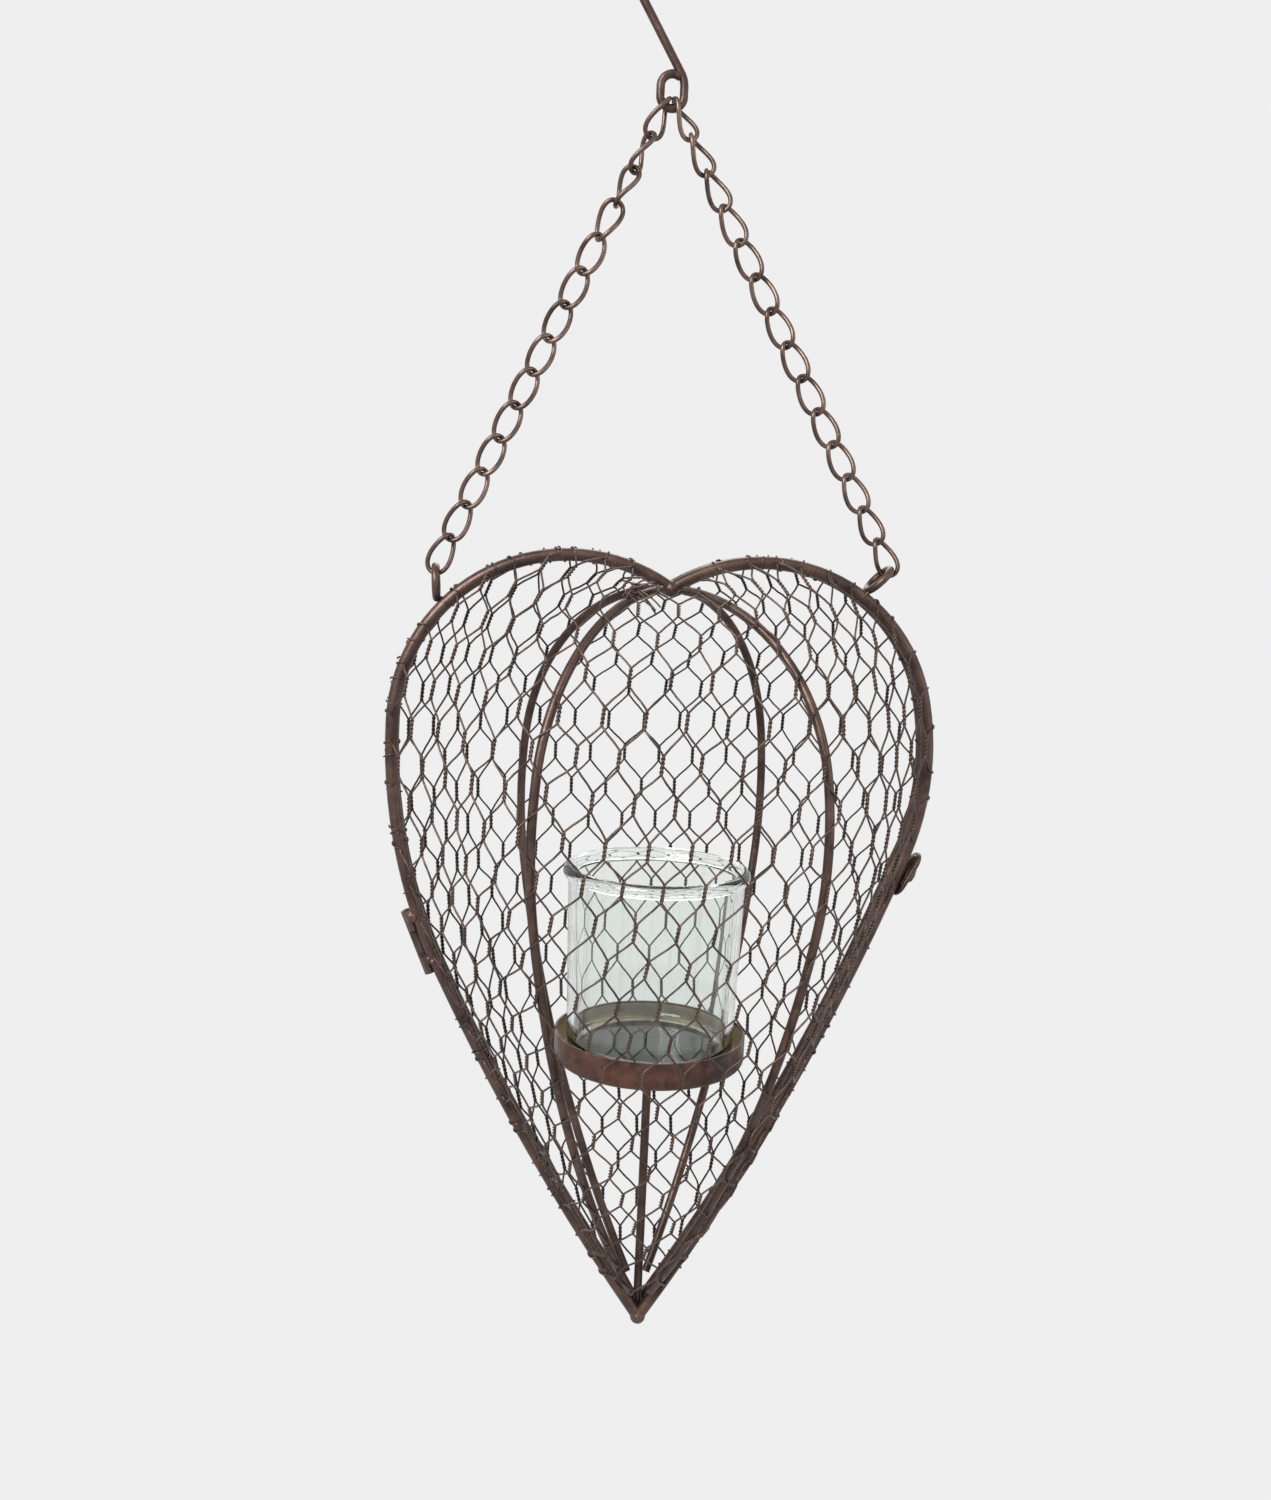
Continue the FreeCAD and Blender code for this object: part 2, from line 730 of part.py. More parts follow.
def make_jar():
    """Blown jar with a thick base, slightly tapering walls and a rolled rim."""
    body = new_body("glass_jar", Placement(Vector(0, 0, jar_floor), Rotation()))
    profile = add_sketch(body, "jar_profile", "XZ_Plane")
    roll, wall, height = size("jar_rim_roll"), size("jar_wall"), size("jar_height")
    foot, shoulder, rim = size("jar_foot_radius"), size("jar_shoulder_radius"), size("jar_rim_radius")
    base, toe = size("jar_base"), 3.0
    lip = rim - 2 * roll
    roll_height = height - roll
    neck = roll_height - roll
    corner = toe * (1 - math.sqrt(0.5))
    outer_toe = [(foot - toe, 0), (foot - corner, corner), (foot, toe)]
    inner_foot = foot - wall
    bend = 4.0
    turn = bend * (1 - math.sqrt(0.5))
    pieces_of_profile = [
        ("line", (0, 0), outer_toe[0]),
        ("arc", *outer_toe),
        ("line", outer_toe[2], (shoulder, neck)),
        ("line", (shoulder, neck), (rim - roll, neck)) if shoulder < rim - roll else None,
        (
            "arc",
            (max(shoulder, rim - roll), neck),
            (rim, roll_height),
            (rim - roll, height),
        ),
        ("arc", (rim - roll, height), (lip, roll_height), (shoulder - wall, neck)),
        ("line", (shoulder - wall, neck), (inner_foot, base + bend)),
        (
            "arc",
            (inner_foot, base + bend),
            (inner_foot - turn, base + turn),
            (inner_foot - bend, base),
        ),
        ("line", (inner_foot - bend, base), (0, base)),
        ("line", (0, base), (0, 0)),
    ]
    for piece in pieces_of_profile:
        if piece is None:
            continue
        if piece[0] == "line":
            profile.addGeometry(Part.LineSegment(Vector(*piece[1], 0), Vector(*piece[2], 0)))
        else:
            profile.addGeometry(arc_through(*piece[1:]))
    jar = body.newObject("PartDesign::Revolution", "jar")
    jar.Profile = profile
    jar.ReferenceAxis = (body_plane(body, "Z_Axis"), [""])
    jar.Angle = 360
    doc.recompute()
    return body


# Hinge on the left leg: its axis runs along the leg in the groove between the two rods

knuckle_radius = size("knuckle_diameter") / 2
axis_distance = rod_radius + knuckle_radius + size("running_gap")
axis_outward = math.sqrt(axis_distance**2 - frame_offset**2)
hinge_distance = distance_where(
    side_curves[-1], lambda point: point[1] > size("hinge_height") or point[2] < 60
)
hinge_foot, hinge_along, hinge_out = frame_place(-1, hinge_distance)
hinge_up = hinge_along * -1
hinge_centre = hinge_foot + hinge_out * axis_outward
hinge_turn = Rotation(hinge_out * -1, Vector(0, 1, 0), hinge_up, "ZXY")


def bead_place():
    """Middle of a weld bead in the front groove between a knuckle and the door's rod."""
    bead = size("hinge_bead_radius")
    from_axis, from_rod = knuckle_radius + 0.4 * bead, rod_radius + weld_gap + 0.4 * bead
    corner = math.acos(
        (from_axis**2 + axis_distance**2 - from_rod**2) / (2 * from_axis * axis_distance)
    )
    turn = -math.atan2(frame_offset, axis_outward) - corner
    return Vector(from_axis * math.cos(turn), from_axis * math.sin(turn), 0)


def add_solid(kind, name, place, **bindings):
    """Part primitive with its measures bound to expressions."""
    solid = doc.addObject(kind, name)
    for measure, expression in bindings.items():
        solid.setExpression(measure, expression)
    solid.Placement = Placement(place, Rotation())
    return solid


def combine(kind, name, base, tool):
    result = doc.addObject(kind, name)
    result.Base, result.Tool = base, tool
    return result


def make_knuckle(label, place, welded):
    """Length of tube on the hinge axis, with a weld bead where it is fixed to the door's rod."""
    foot = place - size("knuckle_length") / 2
    outside = add_solid(
        "Part::Cylinder",
        label + "_tube",
        Vector(0, 0, foot),
        Radius="Sizes.knuckle_diameter / 2",
        Height="Sizes.knuckle_length",
    )
    if welded:
        seam = add_solid(
            "Part::Cylinder",
            label + "_seam",
            bead_place() + Vector(0, 0, foot + 1),
            Radius="Sizes.hinge_bead_radius",
            Height="Sizes.knuckle_length - 2",
        )
        rod_way = add_solid(
            "Part::Cylinder",
            label + "_rod_way",
            Vector(axis_outward, -frame_offset, -3 * size("knuckle_length")),
            Radius="Sizes.rod_diameter / 2 + Sizes.weld_gap",
            Height="6 * Sizes.knuckle_length",
        )
        bead = combine("Part::Cut", label + "_bead", seam, rod_way)
        outside = combine("Part::Fuse", label + "_welded", outside, bead)
    bore = add_solid(
        "Part::Cylinder",
        label + "_bore",
        Vector(0, 0, foot - 1),
        Radius="Sizes.pin_diameter / 2 + Sizes.pin_clearance",
        Height="Sizes.knuckle_length + 2",
    )
    knuckle = combine("Part::Cut", label, outside, bore)
    knuckle.Placement = whole * Placement(hinge_centre, hinge_turn)
    return keep(knuckle, label)


def make_hinge():
    """Three knuckles on one pin: the outer two swing with the door."""
    step = size("knuckle_length") + size("knuckle_gap")
    make_knuckle("hinge_upper_knuckle", step, True)
    make_knuckle("hinge_middle_knuckle", 0.0, False)
    make_knuckle("hinge_lower_knuckle", -step, True)
    pin = doc.addObject("Part::Cylinder", "hinge_pin")
    pin.setExpression("Radius", "Sizes.pin_diameter / 2")
    pin.setExpression("Height", "3 * Sizes.knuckle_length + 2 * Sizes.knuckle_gap + 0.8")
    base = hinge_centre - hinge_up * (1.5 * size("knuckle_length") + size("knuckle_gap") + 0.4)
    pin.Placement = whole * Placement(base, hinge_turn)
    return keep(pin, "hinge_pin")


# Snap catch on the right leg: a bent spring wire on the back rod that grips the door's rod

catch_distance = distance_where(
    side_curves[1],
    lambda point: point[1] > size("catch_height") - size("catch_length") / 2 or point[2] < 60,
)
catch_foot, catch_along, catch_out = frame_place(1, catch_distance)


def make_catch():
    """Closed loop of wire that lies on the outside of both rods, its upper end standing off."""
    tilt = math.radians(size("catch_tilt"))
    up = catch_out * math.sin(tilt) - catch_along * math.cos(tilt)
    foot = catch_foot + catch_out * (rod_radius + size("catch_wire") / 2 + weld_gap)
    middle = foot + up * (size("catch_length") / 2)
    place = Placement(middle, Rotation(Vector(0, 1, 0), catch_out, up, "ZXY"))
    body = new_body("snap_catch", place)
    half_width = (size("catch_width") - size("catch_wire")) / 2
    half_length = size("catch_length") / 2 - size("catch_wire") / 2
    straight = half_length - half_width
    geometry = [
        Part.LineSegment(Vector(half_width, -straight, 0), Vector(half_width, straight, 0)),
        arc_through((half_width, straight), (0, straight + half_width), (-half_width, straight)),
        Part.LineSegment(Vector(-half_width, straight, 0), Vector(-half_width, -straight, 0)),
        arc_through((-half_width, -straight), (0, -straight - half_width), (half_width, -straight)),
    ]
    add_pipe(body, "loop", geometry, (half_width, -straight), "catch_wire")
    return body


# Chain rings, chain links and hook


def make_ring(label, side):
    """Closed ring that stands across the frame rods."""
    centre, up = ring_places[side]
    ring = doc.addObject("Part::Torus", label)
    ring.setExpression("Radius1", "(Sizes.ring_diameter - Sizes.ring_wire) / 2")
    ring.setExpression("Radius2", "Sizes.ring_wire / 2")
    across = Vector(0, 1, 0).cross(up)
    ring.Placement = whole * Placement(centre, Rotation(up, Vector(0, 1, 0), across, "ZXY"))
    return keep(ring, label)


def link_shape():
    """Oval of wire twisted along its length, so that links hooked together all face the same way."""
    wire = size("link_wire") / 2
    half_length, half_width = size("link_length") / 2 - wire, size("link_width") / 2 - wire
    swell = half_width * math.tan(math.radians(size("link_twist") / 2)) / 2

    def oval_point(turn):
        return Vector(half_width * math.cos(turn), swell * math.sin(2 * turn), half_length * math.sin(turn))

    def oval_heading(turn):
        return Vector(-half_width * math.sin(turn), 2 * swell * math.cos(2 * turn), half_length * math.cos(turn))

    halves = []
    for first in (0.0, math.pi):
        path = Part.BSplineCurve()
        path.interpolate(
            Points=[oval_point(first + math.pi * step / 16) for step in range(17)],
            InitialTangent=oval_heading(first),
            FinalTangent=oval_heading(first + math.pi),
        )
        disc = Part.makeCircle(wire, oval_point(first), oval_heading(first))
        halves.append(Part.Wire(path.toShape()).makePipeShell([Part.Wire(disc)], True, True))
    return halves[0].fuse(halves[1]).Solids[0]


def link_turns(full_turn):
    """Turn of each link about its leg: eased in from the eye, and eased out to the ring."""
    first, last = size("first_link_turn"), size("last_link_turn")
    turns = []
    for number in range(LINK_COUNT):
        eased_in = min(1.0, number / 4)
        eased_out = max(0.0, (number - LINK_COUNT + 4) / 3)
        turns.append(first + (full_turn - first) * eased_in + last * eased_out)
    return turns


def make_chain(name, side, full_turn):
    """Leg of welded links that hang from the eye of the hook down to a ring."""
    start = eye_centre + eye_seat(side)
    way = (ring_tops[side] - start).normalize()
    flat = Vector(0, 1, 0).cross(way)
    shape = link_shape()
    for number, phase in enumerate(link_turns(full_turn)):
        turn = Rotation(flat, Vector(0, 1, 0), way, "ZXY")
        label = f"{name}_{number + 1:02d}"
        link = doc.addObject("Part::Feature", label)
        link.Shape = shape
        place = start + way * (eye_to_link + number * link_pitch)
        link.Placement = whole * Placement(place, turn * Rotation(Vector(0, 0, 1), phase))
        keep(link, label)


def make_hook():
    """One bent wire: a closed eye, a leaning shank and an open bend."""
    body = new_body("hanging_hook", Placement(eye_centre, Rotation()))
    straight = size("eye_straight")
    opening = math.radians(48)
    eye_start = (eye_radius * math.cos(opening), straight + eye_radius * math.sin(opening))
    quarter = (math.pi + opening) / 2
    eye = [
        arc_through(
            eye_start,
            (eye_radius * math.cos(quarter), straight + eye_radius * math.sin(quarter)),
            (-eye_radius, straight),
        ),
        Part.LineSegment(Vector(-eye_radius, straight, 0), Vector(-eye_radius, 0, 0)),
        arc_through((-eye_radius, 0), (0, -eye_radius), (eye_radius, 0)),
    ]
    add_pipe(body, "eye", eye, eye_start, "hook_wire")
    bend_middle = Vector(
        eye_radius - size("shank_bend") * (1 - math.cos(lean / 2)),
        straight + size("shank_bend") * math.sin(lean / 2),
        0,
    )
    flat_start, flat_end = Vector(shank_start.x, shank_start.z, 0), Vector(shank_end.x, shank_end.z, 0)
    top_centre = Vector(bend_centre.x, bend_centre.z, 0)
    sweep = math.radians(size("hook_sweep"))
    first = math.pi + lean

    def on_bend(turned):
        angle = first - turned
        return top_centre + Vector(math.cos(angle), math.sin(angle), 0) * size("hook_bend")

    shank = [
        Part.LineSegment(Vector(eye_radius, 0, 0), Vector(eye_radius, straight, 0)),
        Part.Arc(Vector(eye_radius, straight, 0), bend_middle, flat_start),
        Part.LineSegment(flat_start, flat_end),
        Part.Arc(flat_end, on_bend(sweep / 2), on_bend(sweep)),
    ]
    add_pipe(body, "shank", shank, (eye_radius, 0), "hook_wire")
    return body


make_hook()
make_chain("chain_left_link", -1, -180)
make_chain("chain_right_link", 1, 0)
make_ring("ring_left", -1)
make_ring("ring_right", 1)
make_frame("back_frame", 1)
make_rib("back_rib_left", -1, 1)
make_rib("back_rib_right", 1, 1)
make_netting("back_netting", 1)
make_stem()
make_dish()
make_jar()
make_hinge()
make_catch()
make_frame("front_frame", -1)
make_rib("front_rib_left", -1, -1)
make_rib("front_rib_right", 1, -1)
make_netting("front_netting", -1)

doc.recompute()
for item in doc.Objects:
    if "Invalid" in item.State or "Error" in item.State:
        raise RuntimeError(f"{item.Name} failed: {item.State}")
for piece in pieces:
    if piece.Shape.isNull() or not piece.Shape.isValid() or piece.Shape.Volume <= 0:
        raise RuntimeError(f"{piece.Label} has no valid solid")

os.makedirs("parts", exist_ok=True)
for piece in pieces:
    piece.Shape.exportStep(f"parts/{piece.Label}.step")

seat_line = eye_centre + eye_seat(1) - Vector(0, 0, drop)
print("nodes", len(pieces))
print("heart tip below the seat", round(drop, 4))
print("swing axis", round(eye_centre.x, 4), round(seat_line.z, 4))
print("hinge centre", [round(value, 4) for value in hinge_centre - Vector(0, 0, drop)])
print("hinge direction", [round(-value, 6) for value in hinge_up])
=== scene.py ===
import math

import bpy
import numpy as np
from mathutils import Matrix, Vector


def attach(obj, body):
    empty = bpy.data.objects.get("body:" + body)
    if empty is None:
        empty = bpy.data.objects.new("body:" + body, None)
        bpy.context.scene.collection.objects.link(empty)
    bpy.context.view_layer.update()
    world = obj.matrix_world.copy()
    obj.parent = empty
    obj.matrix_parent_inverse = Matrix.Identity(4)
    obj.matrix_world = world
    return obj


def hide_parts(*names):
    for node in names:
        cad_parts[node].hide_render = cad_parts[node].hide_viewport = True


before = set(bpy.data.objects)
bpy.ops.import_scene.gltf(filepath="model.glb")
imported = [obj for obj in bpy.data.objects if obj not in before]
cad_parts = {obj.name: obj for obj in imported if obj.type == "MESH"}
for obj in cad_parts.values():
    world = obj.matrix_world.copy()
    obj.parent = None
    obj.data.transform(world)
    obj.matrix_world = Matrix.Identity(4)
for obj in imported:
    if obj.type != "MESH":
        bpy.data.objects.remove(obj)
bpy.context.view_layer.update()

# Measures in millimetres. Heights of the heart count from its tip, which hangs DROP below the
# hook's seat.
MM = 0.001
DROP = 562.353
ROD_RADIUS = 2.5
RIB_RADIUS = 1.75
FRAME_OFFSET = 3.4
CLEFT_HEIGHT = 301.0
CLEFT_RISE = 33.9
RIB_AZIMUTH = math.radians(48.0)
SIDE_BENDS = {
    -1: [(67.7, 88.0), (214.6, 115.3)],
    1: [(67.7, 76.9), (110.5, 110.0)],
}
RIB_DIP = 3.7
RIB_TOP_REACH = 7.0
RIB_START = (RIB_TOP_REACH, CLEFT_HEIGHT - RIB_TOP_REACH * math.sin(math.radians(RIB_DIP)))
RIB_BENDS = [(76.5, 81.6), (166.4, 101.0)]
RIB_FOOT = (6.0, 13.5)

# Netting
WIRE = 0.8
ROW_STEP = 14.9
TWIST_LENGTH = 7.6
HALF_TURNS = 5
TWIST_POINTS = 19
SLANT_POINTS = 2
WIRE_SIDES = 6
NET_TOP = 8.0
NET_FOOT_HEIGHT = 15.0
GRID_STEP = 1.0
SPAN_STEPS = 16
HERMITE_TENSION = 0.35
OVERHANG = 30.0
STRAND_RADIUS = WIRE * 0.54
KNOT_SCATTER = 0.42
LEAN_LEVEL = 150.0
SIDE_FROM = 45.0
SHOULDER_PULL = 14.0
SHOULDER_FADE = 32.0

# Wire ends round the side rods. They keep clear of the cleft, the tip, the hinge and the catch
WRAP_GAP = 5.5
WRAP_RADIUS = ROD_RADIUS + WIRE * 0.42
WRAP_WIRE_RADIUS = WIRE * 0.45
CLEFT_CLEAR = 9.0
TIP_CLEAR = 20.0
HINGE_HEIGHT = 160.0
HINGE_CLEAR = 19.0
CATCH_HEIGHT = 192.0
CATCH_CLEAR = 14.0
TIED_PLACE = (-16.4, 22.0, 300.5)

# From this share of the way to its widest place, a side rod's heights are searched as it falls
FALL_FROM = 0.6

# Hinge: a place on its axis, the way down it, and the lumps of weld as rows of
# (up the axis, inwards, forwards, radius)
HINGE_PLACE = (-93.737, 158.589)
HINGE_DOWN = (0.371302, -0.928512)
WELD_LUMPS = [
    (11.0, 1.7, 3.5, 2.7),
    (10.6, 0.4, 2.6, 1.1),
    (9.0, 0.9, 2.9, 0.8),
    (-7.6, 2.0, 3.6, 1.7),
    (-8.7, 3.2, 4.1, 1.9),
    (-6.4, 0.8, 2.9, 0.9),
]

# Body of the snap catch: its height over the rod at shares of its length from the lower end
CATCH_LENGTH = 20.0
CATCH_SHARES = [0, 0.12, 0.3, 0.38, 0.5, 0.75, 1]
CATCH_HEIGHTS = [2.2, 2.8, 3.4, 6.1, 6.4, 5.4, 4.6]
CATCH_CLEARANCE = 0.45
CATCH_END_GAP = 1.0
CATCH_HALF_WIDTH = 3.1

# Dish: its top, its lip's height, the centre circle and middle radius of its lower bend, and where
# its dark patches begin and reach their full strength, counted to the right
DISH_TOP = 122.7
DISH_LIP = 0.7
DISH_BEND_REACH = 36.0
DISH_BEND_HEIGHT = 113.8
DISH_BEND_MIDDLE = 2.15
DISH_DARK_FROM = 8.0
DISH_DARK_FULL = 24.0

# Width of the photograph in pixels, in which the camera's focal length is given
PHOTO_WIDTH = 1271.0


# Curves of the bent rods


def arc_span(start, dip, radius, end_dip):
    """Arc from a start point: its centre is start - radius * (sin dip, cos dip)."""
    centre = (start[0] - radius * math.sin(dip), start[1] - radius * math.cos(dip))
    return centre[0], centre[1], radius, dip, end_dip, radius * (end_dip - dip)


def bent_rod(start, dip_degrees, bends, end):
    """Arcs from start to end as rows (centre x, centre z, radius, first dip, last dip, length).

    The last arc leaves along the curve and closes on the end point: with the chord at an angle a to
    the heading, it turns by 2a and has the radius chord / (2 sin a).
    """
    rows = []
    dip = math.radians(dip_degrees)
    for radius, end_degrees in bends:
        rows.append(arc_span(start, dip, radius, math.radians(end_degrees)))
        dip = rows[-1][4]
        start = (rows[-1][0] + radius * math.sin(dip), rows[-1][1] + radius * math.cos(dip))
    chord = (end[0] - start[0], end[1] - start[1])
    along = (math.cos(dip), -math.sin(dip))
    outer = (math.sin(dip), math.cos(dip))
    turn = math.atan2(
        -(chord[0] * outer[0] + chord[1] * outer[1]), chord[0] * along[0] + chord[1] * along[1]
    )
    rows.append(arc_span(start, dip, math.hypot(*chord) / (2 * math.sin(turn)), dip + 2 * turn))
    return np.array(rows)


def on_curve(spans, distance):
    """Points at distances along the arcs: centre + radius * (sin dip, cos dip), with their dips."""
    distance = np.asarray(distance, float)
    ends = np.cumsum(spans[:, 5])
    index = np.clip(np.searchsorted(ends, distance), 0, len(spans) - 1)
    row = spans[index]
    share = (distance - (ends[index] - row[..., 5])) / row[..., 5]
    dip = row[..., 3] + share * (row[..., 4] - row[..., 3])
    return row[..., 0] + row[..., 2] * np.sin(dip), row[..., 1] + row[..., 2] * np.cos(dip), dip


SIDES = {
    side: bent_rod((0, CLEFT_HEIGHT), -CLEFT_RISE, SIDE_BENDS[side], (0, 0)) for side in (-1, 1)
}
RIB = bent_rod(RIB_START, RIB_DIP, RIB_BENDS, RIB_FOOT)


# The surface over which the netting is stretched


def height_to_distance(spans, first, heights):
    """Distances along the falling part of a curve at which it passes the given heights."""
    samples = np.linspace(first, spans[:, 5].sum(), 2000)
    _, z, _ = on_curve(spans, samples)
    return np.interp(-heights, -z, samples)


def first_fall(spans):
    """Distance along a curve at which it heads straight down."""
    samples = np.linspace(0, spans[:, 5].sum(), 4000)
    return samples[np.argmax(on_curve(spans, samples)[2] > math.pi / 2)]


def net_levels():
    """Levels of the netting as distances along a rib, from its upper to its lower edge."""
    samples = np.linspace(0, RIB[:, 5].sum(), 4000)
    foot = samples[np.argmax(on_curve(RIB, samples)[1] < NET_FOOT_HEIGHT)]
    return np.arange(NET_TOP, foot, GRID_STEP)


def support_curves(levels):
    """For each level the netting's four supports: left rod, left rib, right rib and right rod.

    Above the widest place of the ribs a level meets the side rods at the same share of their
    length. Below it the level meets them at its own height.
    """
    rib_fall = first_fall(RIB)
    _, fall_height, _ = on_curve(RIB, rib_fall)
    reach, height, dip = on_curve(RIB, levels)
    rise = RIB_RADIUS + WIRE
    rib_reach = reach + rise * np.sin(dip)
    rib_height = height + rise * np.cos(dip)
    supports = {}
    distances = {}
    for side in (-1, 1):
        peak = first_fall(SIDES[side]) * FALL_FROM
        fall = height_to_distance(SIDES[side], peak, np.array([fall_height]))[0]
        shared = levels / rib_fall * fall
        level = height_to_distance(SIDES[side], peak, height)
        distance = np.where(levels < rib_fall, shared, level)
        x, z, _ = on_curve(SIDES[side], distance)
        rod_y = np.full_like(x, FRAME_OFFSET + ROD_RADIUS + WIRE / 2)
        supports[side, "rod"] = np.stack([side * x, rod_y, z], 1)
        supports[side, "rib"] = np.stack(
            [
                side * rib_reach * math.cos(RIB_AZIMUTH),
                FRAME_OFFSET + rib_reach * math.sin(RIB_AZIMUTH),
                rib_height,
            ],
            1,
        )
        distances[side] = distance
    order = [supports[-1, "rod"], supports[-1, "rib"], supports[1, "rib"], supports[1, "rod"]]
    return order, distances


def hermite(p0, m0, p1, m1, t):
    """Cubic from p0 to p1 with end tangents m0 and m1."""
    t = t[None, :, None]
    p0, m0, p1, m1 = (value[:, None, :] for value in (p0, m0, p1, m1))
    return (
        p0 * (2 * t**3 - 3 * t**2 + 1)
        + m0 * (t**3 - 2 * t**2 + t)
        + p1 * (3 * t**2 - 2 * t**3)
        + m1 * (t**3 - t**2)
    )


def down_lengths(levels, grid):
    """For each column of the grid, the length run over the surface at each level.

    Lengths count from the level at which the ribs head straight down, and grow downwards.
    """
    steps = np.linalg.norm(np.diff(grid, axis=0), axis=2)
    lengths = np.concatenate([np.zeros((1, grid.shape[1])), np.cumsum(steps, 0)])
    fall = np.argmin(np.abs(levels - first_fall(RIB)))
    return lengths - lengths[fall] + levels[fall]


def level_at(surface, across, length):
    """Level of each point of the wires from its place across and the length run down to it."""
    columns = surface["columns"]
    nearest = np.clip(np.rint((across - columns[0]) / GRID_STEP).astype(int), 0, len(columns) - 1)
    level = np.empty_like(length)
    for column in np.unique(nearest):
        here = nearest == column
        lengths = surface["lengths"][:, column]
        below = length[here] - lengths[0]
        past = length[here] - lengths[-1]
        level[here] = np.interp(length[here], lengths, surface["levels"])
        level[here] += np.minimum(below, 0) + np.maximum(past, 0)
    return level


def net_surface():
    """The stretched surface as a grid over (down, across), with its normals and its two edges.

    Each level is a smooth line through its four supports, cut up by its own length from its middle,
    so that a step across the grid is a step in millimetres over the surface. Beyond its edges the
    line runs on straight.
    """
    levels = net_levels()
    (a, b, c, d), distances = support_curves(levels)
    t = np.linspace(0, 1, SPAN_STEPS, endpoint=False)
    tangent_b = (c - a) * HERMITE_TENSION
    tangent_c = (d - b) * HERMITE_TENSION
    line = np.concatenate(
        [
            hermite(a, b - a, b, tangent_b, t),
            hermite(b, tangent_b, c, tangent_c, t),
            hermite(c, tangent_c, d, d - c, t),
            d[:, None, :],
        ],
        1,
    )
    steps = np.linalg.norm(np.diff(line, axis=1), axis=2)
    across = np.concatenate([np.zeros((len(levels), 1)), np.cumsum(steps, 1)], 1)
    middle = across[:, line.shape[1] // 2]
    across -= middle[:, None]
    first = line[:, 0] - (line[:, 1] - line[:, 0]) / steps[:, :1] * OVERHANG
    last = line[:, -1] + (line[:, -1] - line[:, -2]) / steps[:, -1:] * OVERHANG
    line = np.concatenate([first[:, None], line, last[:, None]], 1)
    edges = across[:, [0, -1]]
    across = np.concatenate([across[:, :1] - OVERHANG, across, across[:, -1:] + OVERHANG], 1)
    reach = np.ceil(np.abs(edges).max()) + 10
    columns = np.arange(-reach, reach + GRID_STEP, GRID_STEP)
    grid = np.stack(
        [
            np.stack([np.interp(columns, across[k], line[k, :, axis]) for axis in range(3)], 1)
            for k in range(len(levels))
        ]
    )
    down = np.gradient(grid, axis=0)
    over = np.gradient(grid, axis=1)
    normal = np.cross(down, over)
    normal /= np.maximum(np.linalg.norm(normal, axis=2, keepdims=True), 1e-9)
    return {
        "levels": levels,
        "columns": columns,
        "points": grid,
        "normals": normal,
        "edges": edges,
        "distances": distances,
        "lengths": down_lengths(levels, grid),
    }


def sample(surface, key, across, down):
    """Value of a grid between its corners, by weighting the four nearest."""
    grid = surface[key]
    i = (down - surface["levels"][0]) / GRID_STEP
    j = (across - surface["columns"][0]) / GRID_STEP
    i = np.clip(i, 0, grid.shape[0] - 1.001)
    j = np.clip(j, 0, grid.shape[1] - 1.001)
    i0, j0 = i.astype(int), j.astype(int)
    fi, fj = (i - i0)[..., None], (j - j0)[..., None]
    return (
        grid[i0, j0] * (1 - fi) * (1 - fj)
        + grid[i0 + 1, j0] * fi * (1 - fj)
        + grid[i0, j0 + 1] * (1 - fi) * fj
        + grid[i0 + 1, j0 + 1] * fi * fj
    )


# Wires of the netting


def knot_shift(table, row, column):
    """How far a twist has been pulled out of place, the same for both of its wires."""
    return table[row % table.shape[0], column % table.shape[1]]


def wire_paths(surface, hand, table, pitch):
    """Every wire that drifts one way, as (wire, point) arrays of its places across, down and off.

    At each row a wire is twisted round its neighbour while it runs down. With the turned angle f it
    lies at middle - hand * STRAND_RADIUS * cos f across and at hand * STRAND_RADIUS * sin f off the
    surface, and comes out on the other side after an odd number of half turns. Then it slants to
    the next row, half a pitch further in its own direction (hand).
    """
    length = surface["levels"][-1] - surface["levels"][0]
    width = surface["columns"][-1]
    rows = np.arange(-2, int(length / ROW_STEP) + 3)
    lead = int(len(rows) / 2) + 2
    wires = np.arange(-int(width / pitch) - lead, int(width / pitch) + lead)
    column = 2 * wires[:, None] + hand * rows[None, :]
    shift = knot_shift(table, rows[None, :] + 0 * wires[:, None], column)
    middle = column * pitch / 2 + shift[..., 0]
    start = surface["levels"][0] + rows[None, :] * ROW_STEP + shift[..., 1] - TWIST_LENGTH / 2
    share = np.linspace(0, 1, TWIST_POINTS)
    angle = share * math.pi * HALF_TURNS
    twist_across = middle[..., None] - hand * STRAND_RADIUS * np.cos(angle)
    twist_down = start[..., None] + share * TWIST_LENGTH
    twist_off = np.broadcast_to(hand * STRAND_RADIUS * np.sin(angle), twist_across.shape)
    mix = np.linspace(0, 1, SLANT_POINTS + 2)[1:-1]
    next_across = np.roll(twist_across[..., :1], -1, axis=1)
    next_down = np.roll(twist_down[..., :1], -1, axis=1)
    soft = mix * mix * (3 - 2 * mix) * 0.25 + mix * 0.75
    slant_across = twist_across[..., -1:] * (1 - soft) + next_across * soft
    slant_down = twist_down[..., -1:] * (1 - mix) + next_down * mix
    across = np.concatenate([twist_across, slant_across], 2)[:, :-1].reshape(len(wires), -1)
    down = np.concatenate([twist_down, slant_down], 2)[:, :-1].reshape(len(wires), -1)
    off = np.concatenate([twist_off, 0 * slant_across], 2)[:, :-1].reshape(len(wires), -1)
    return across, down, off


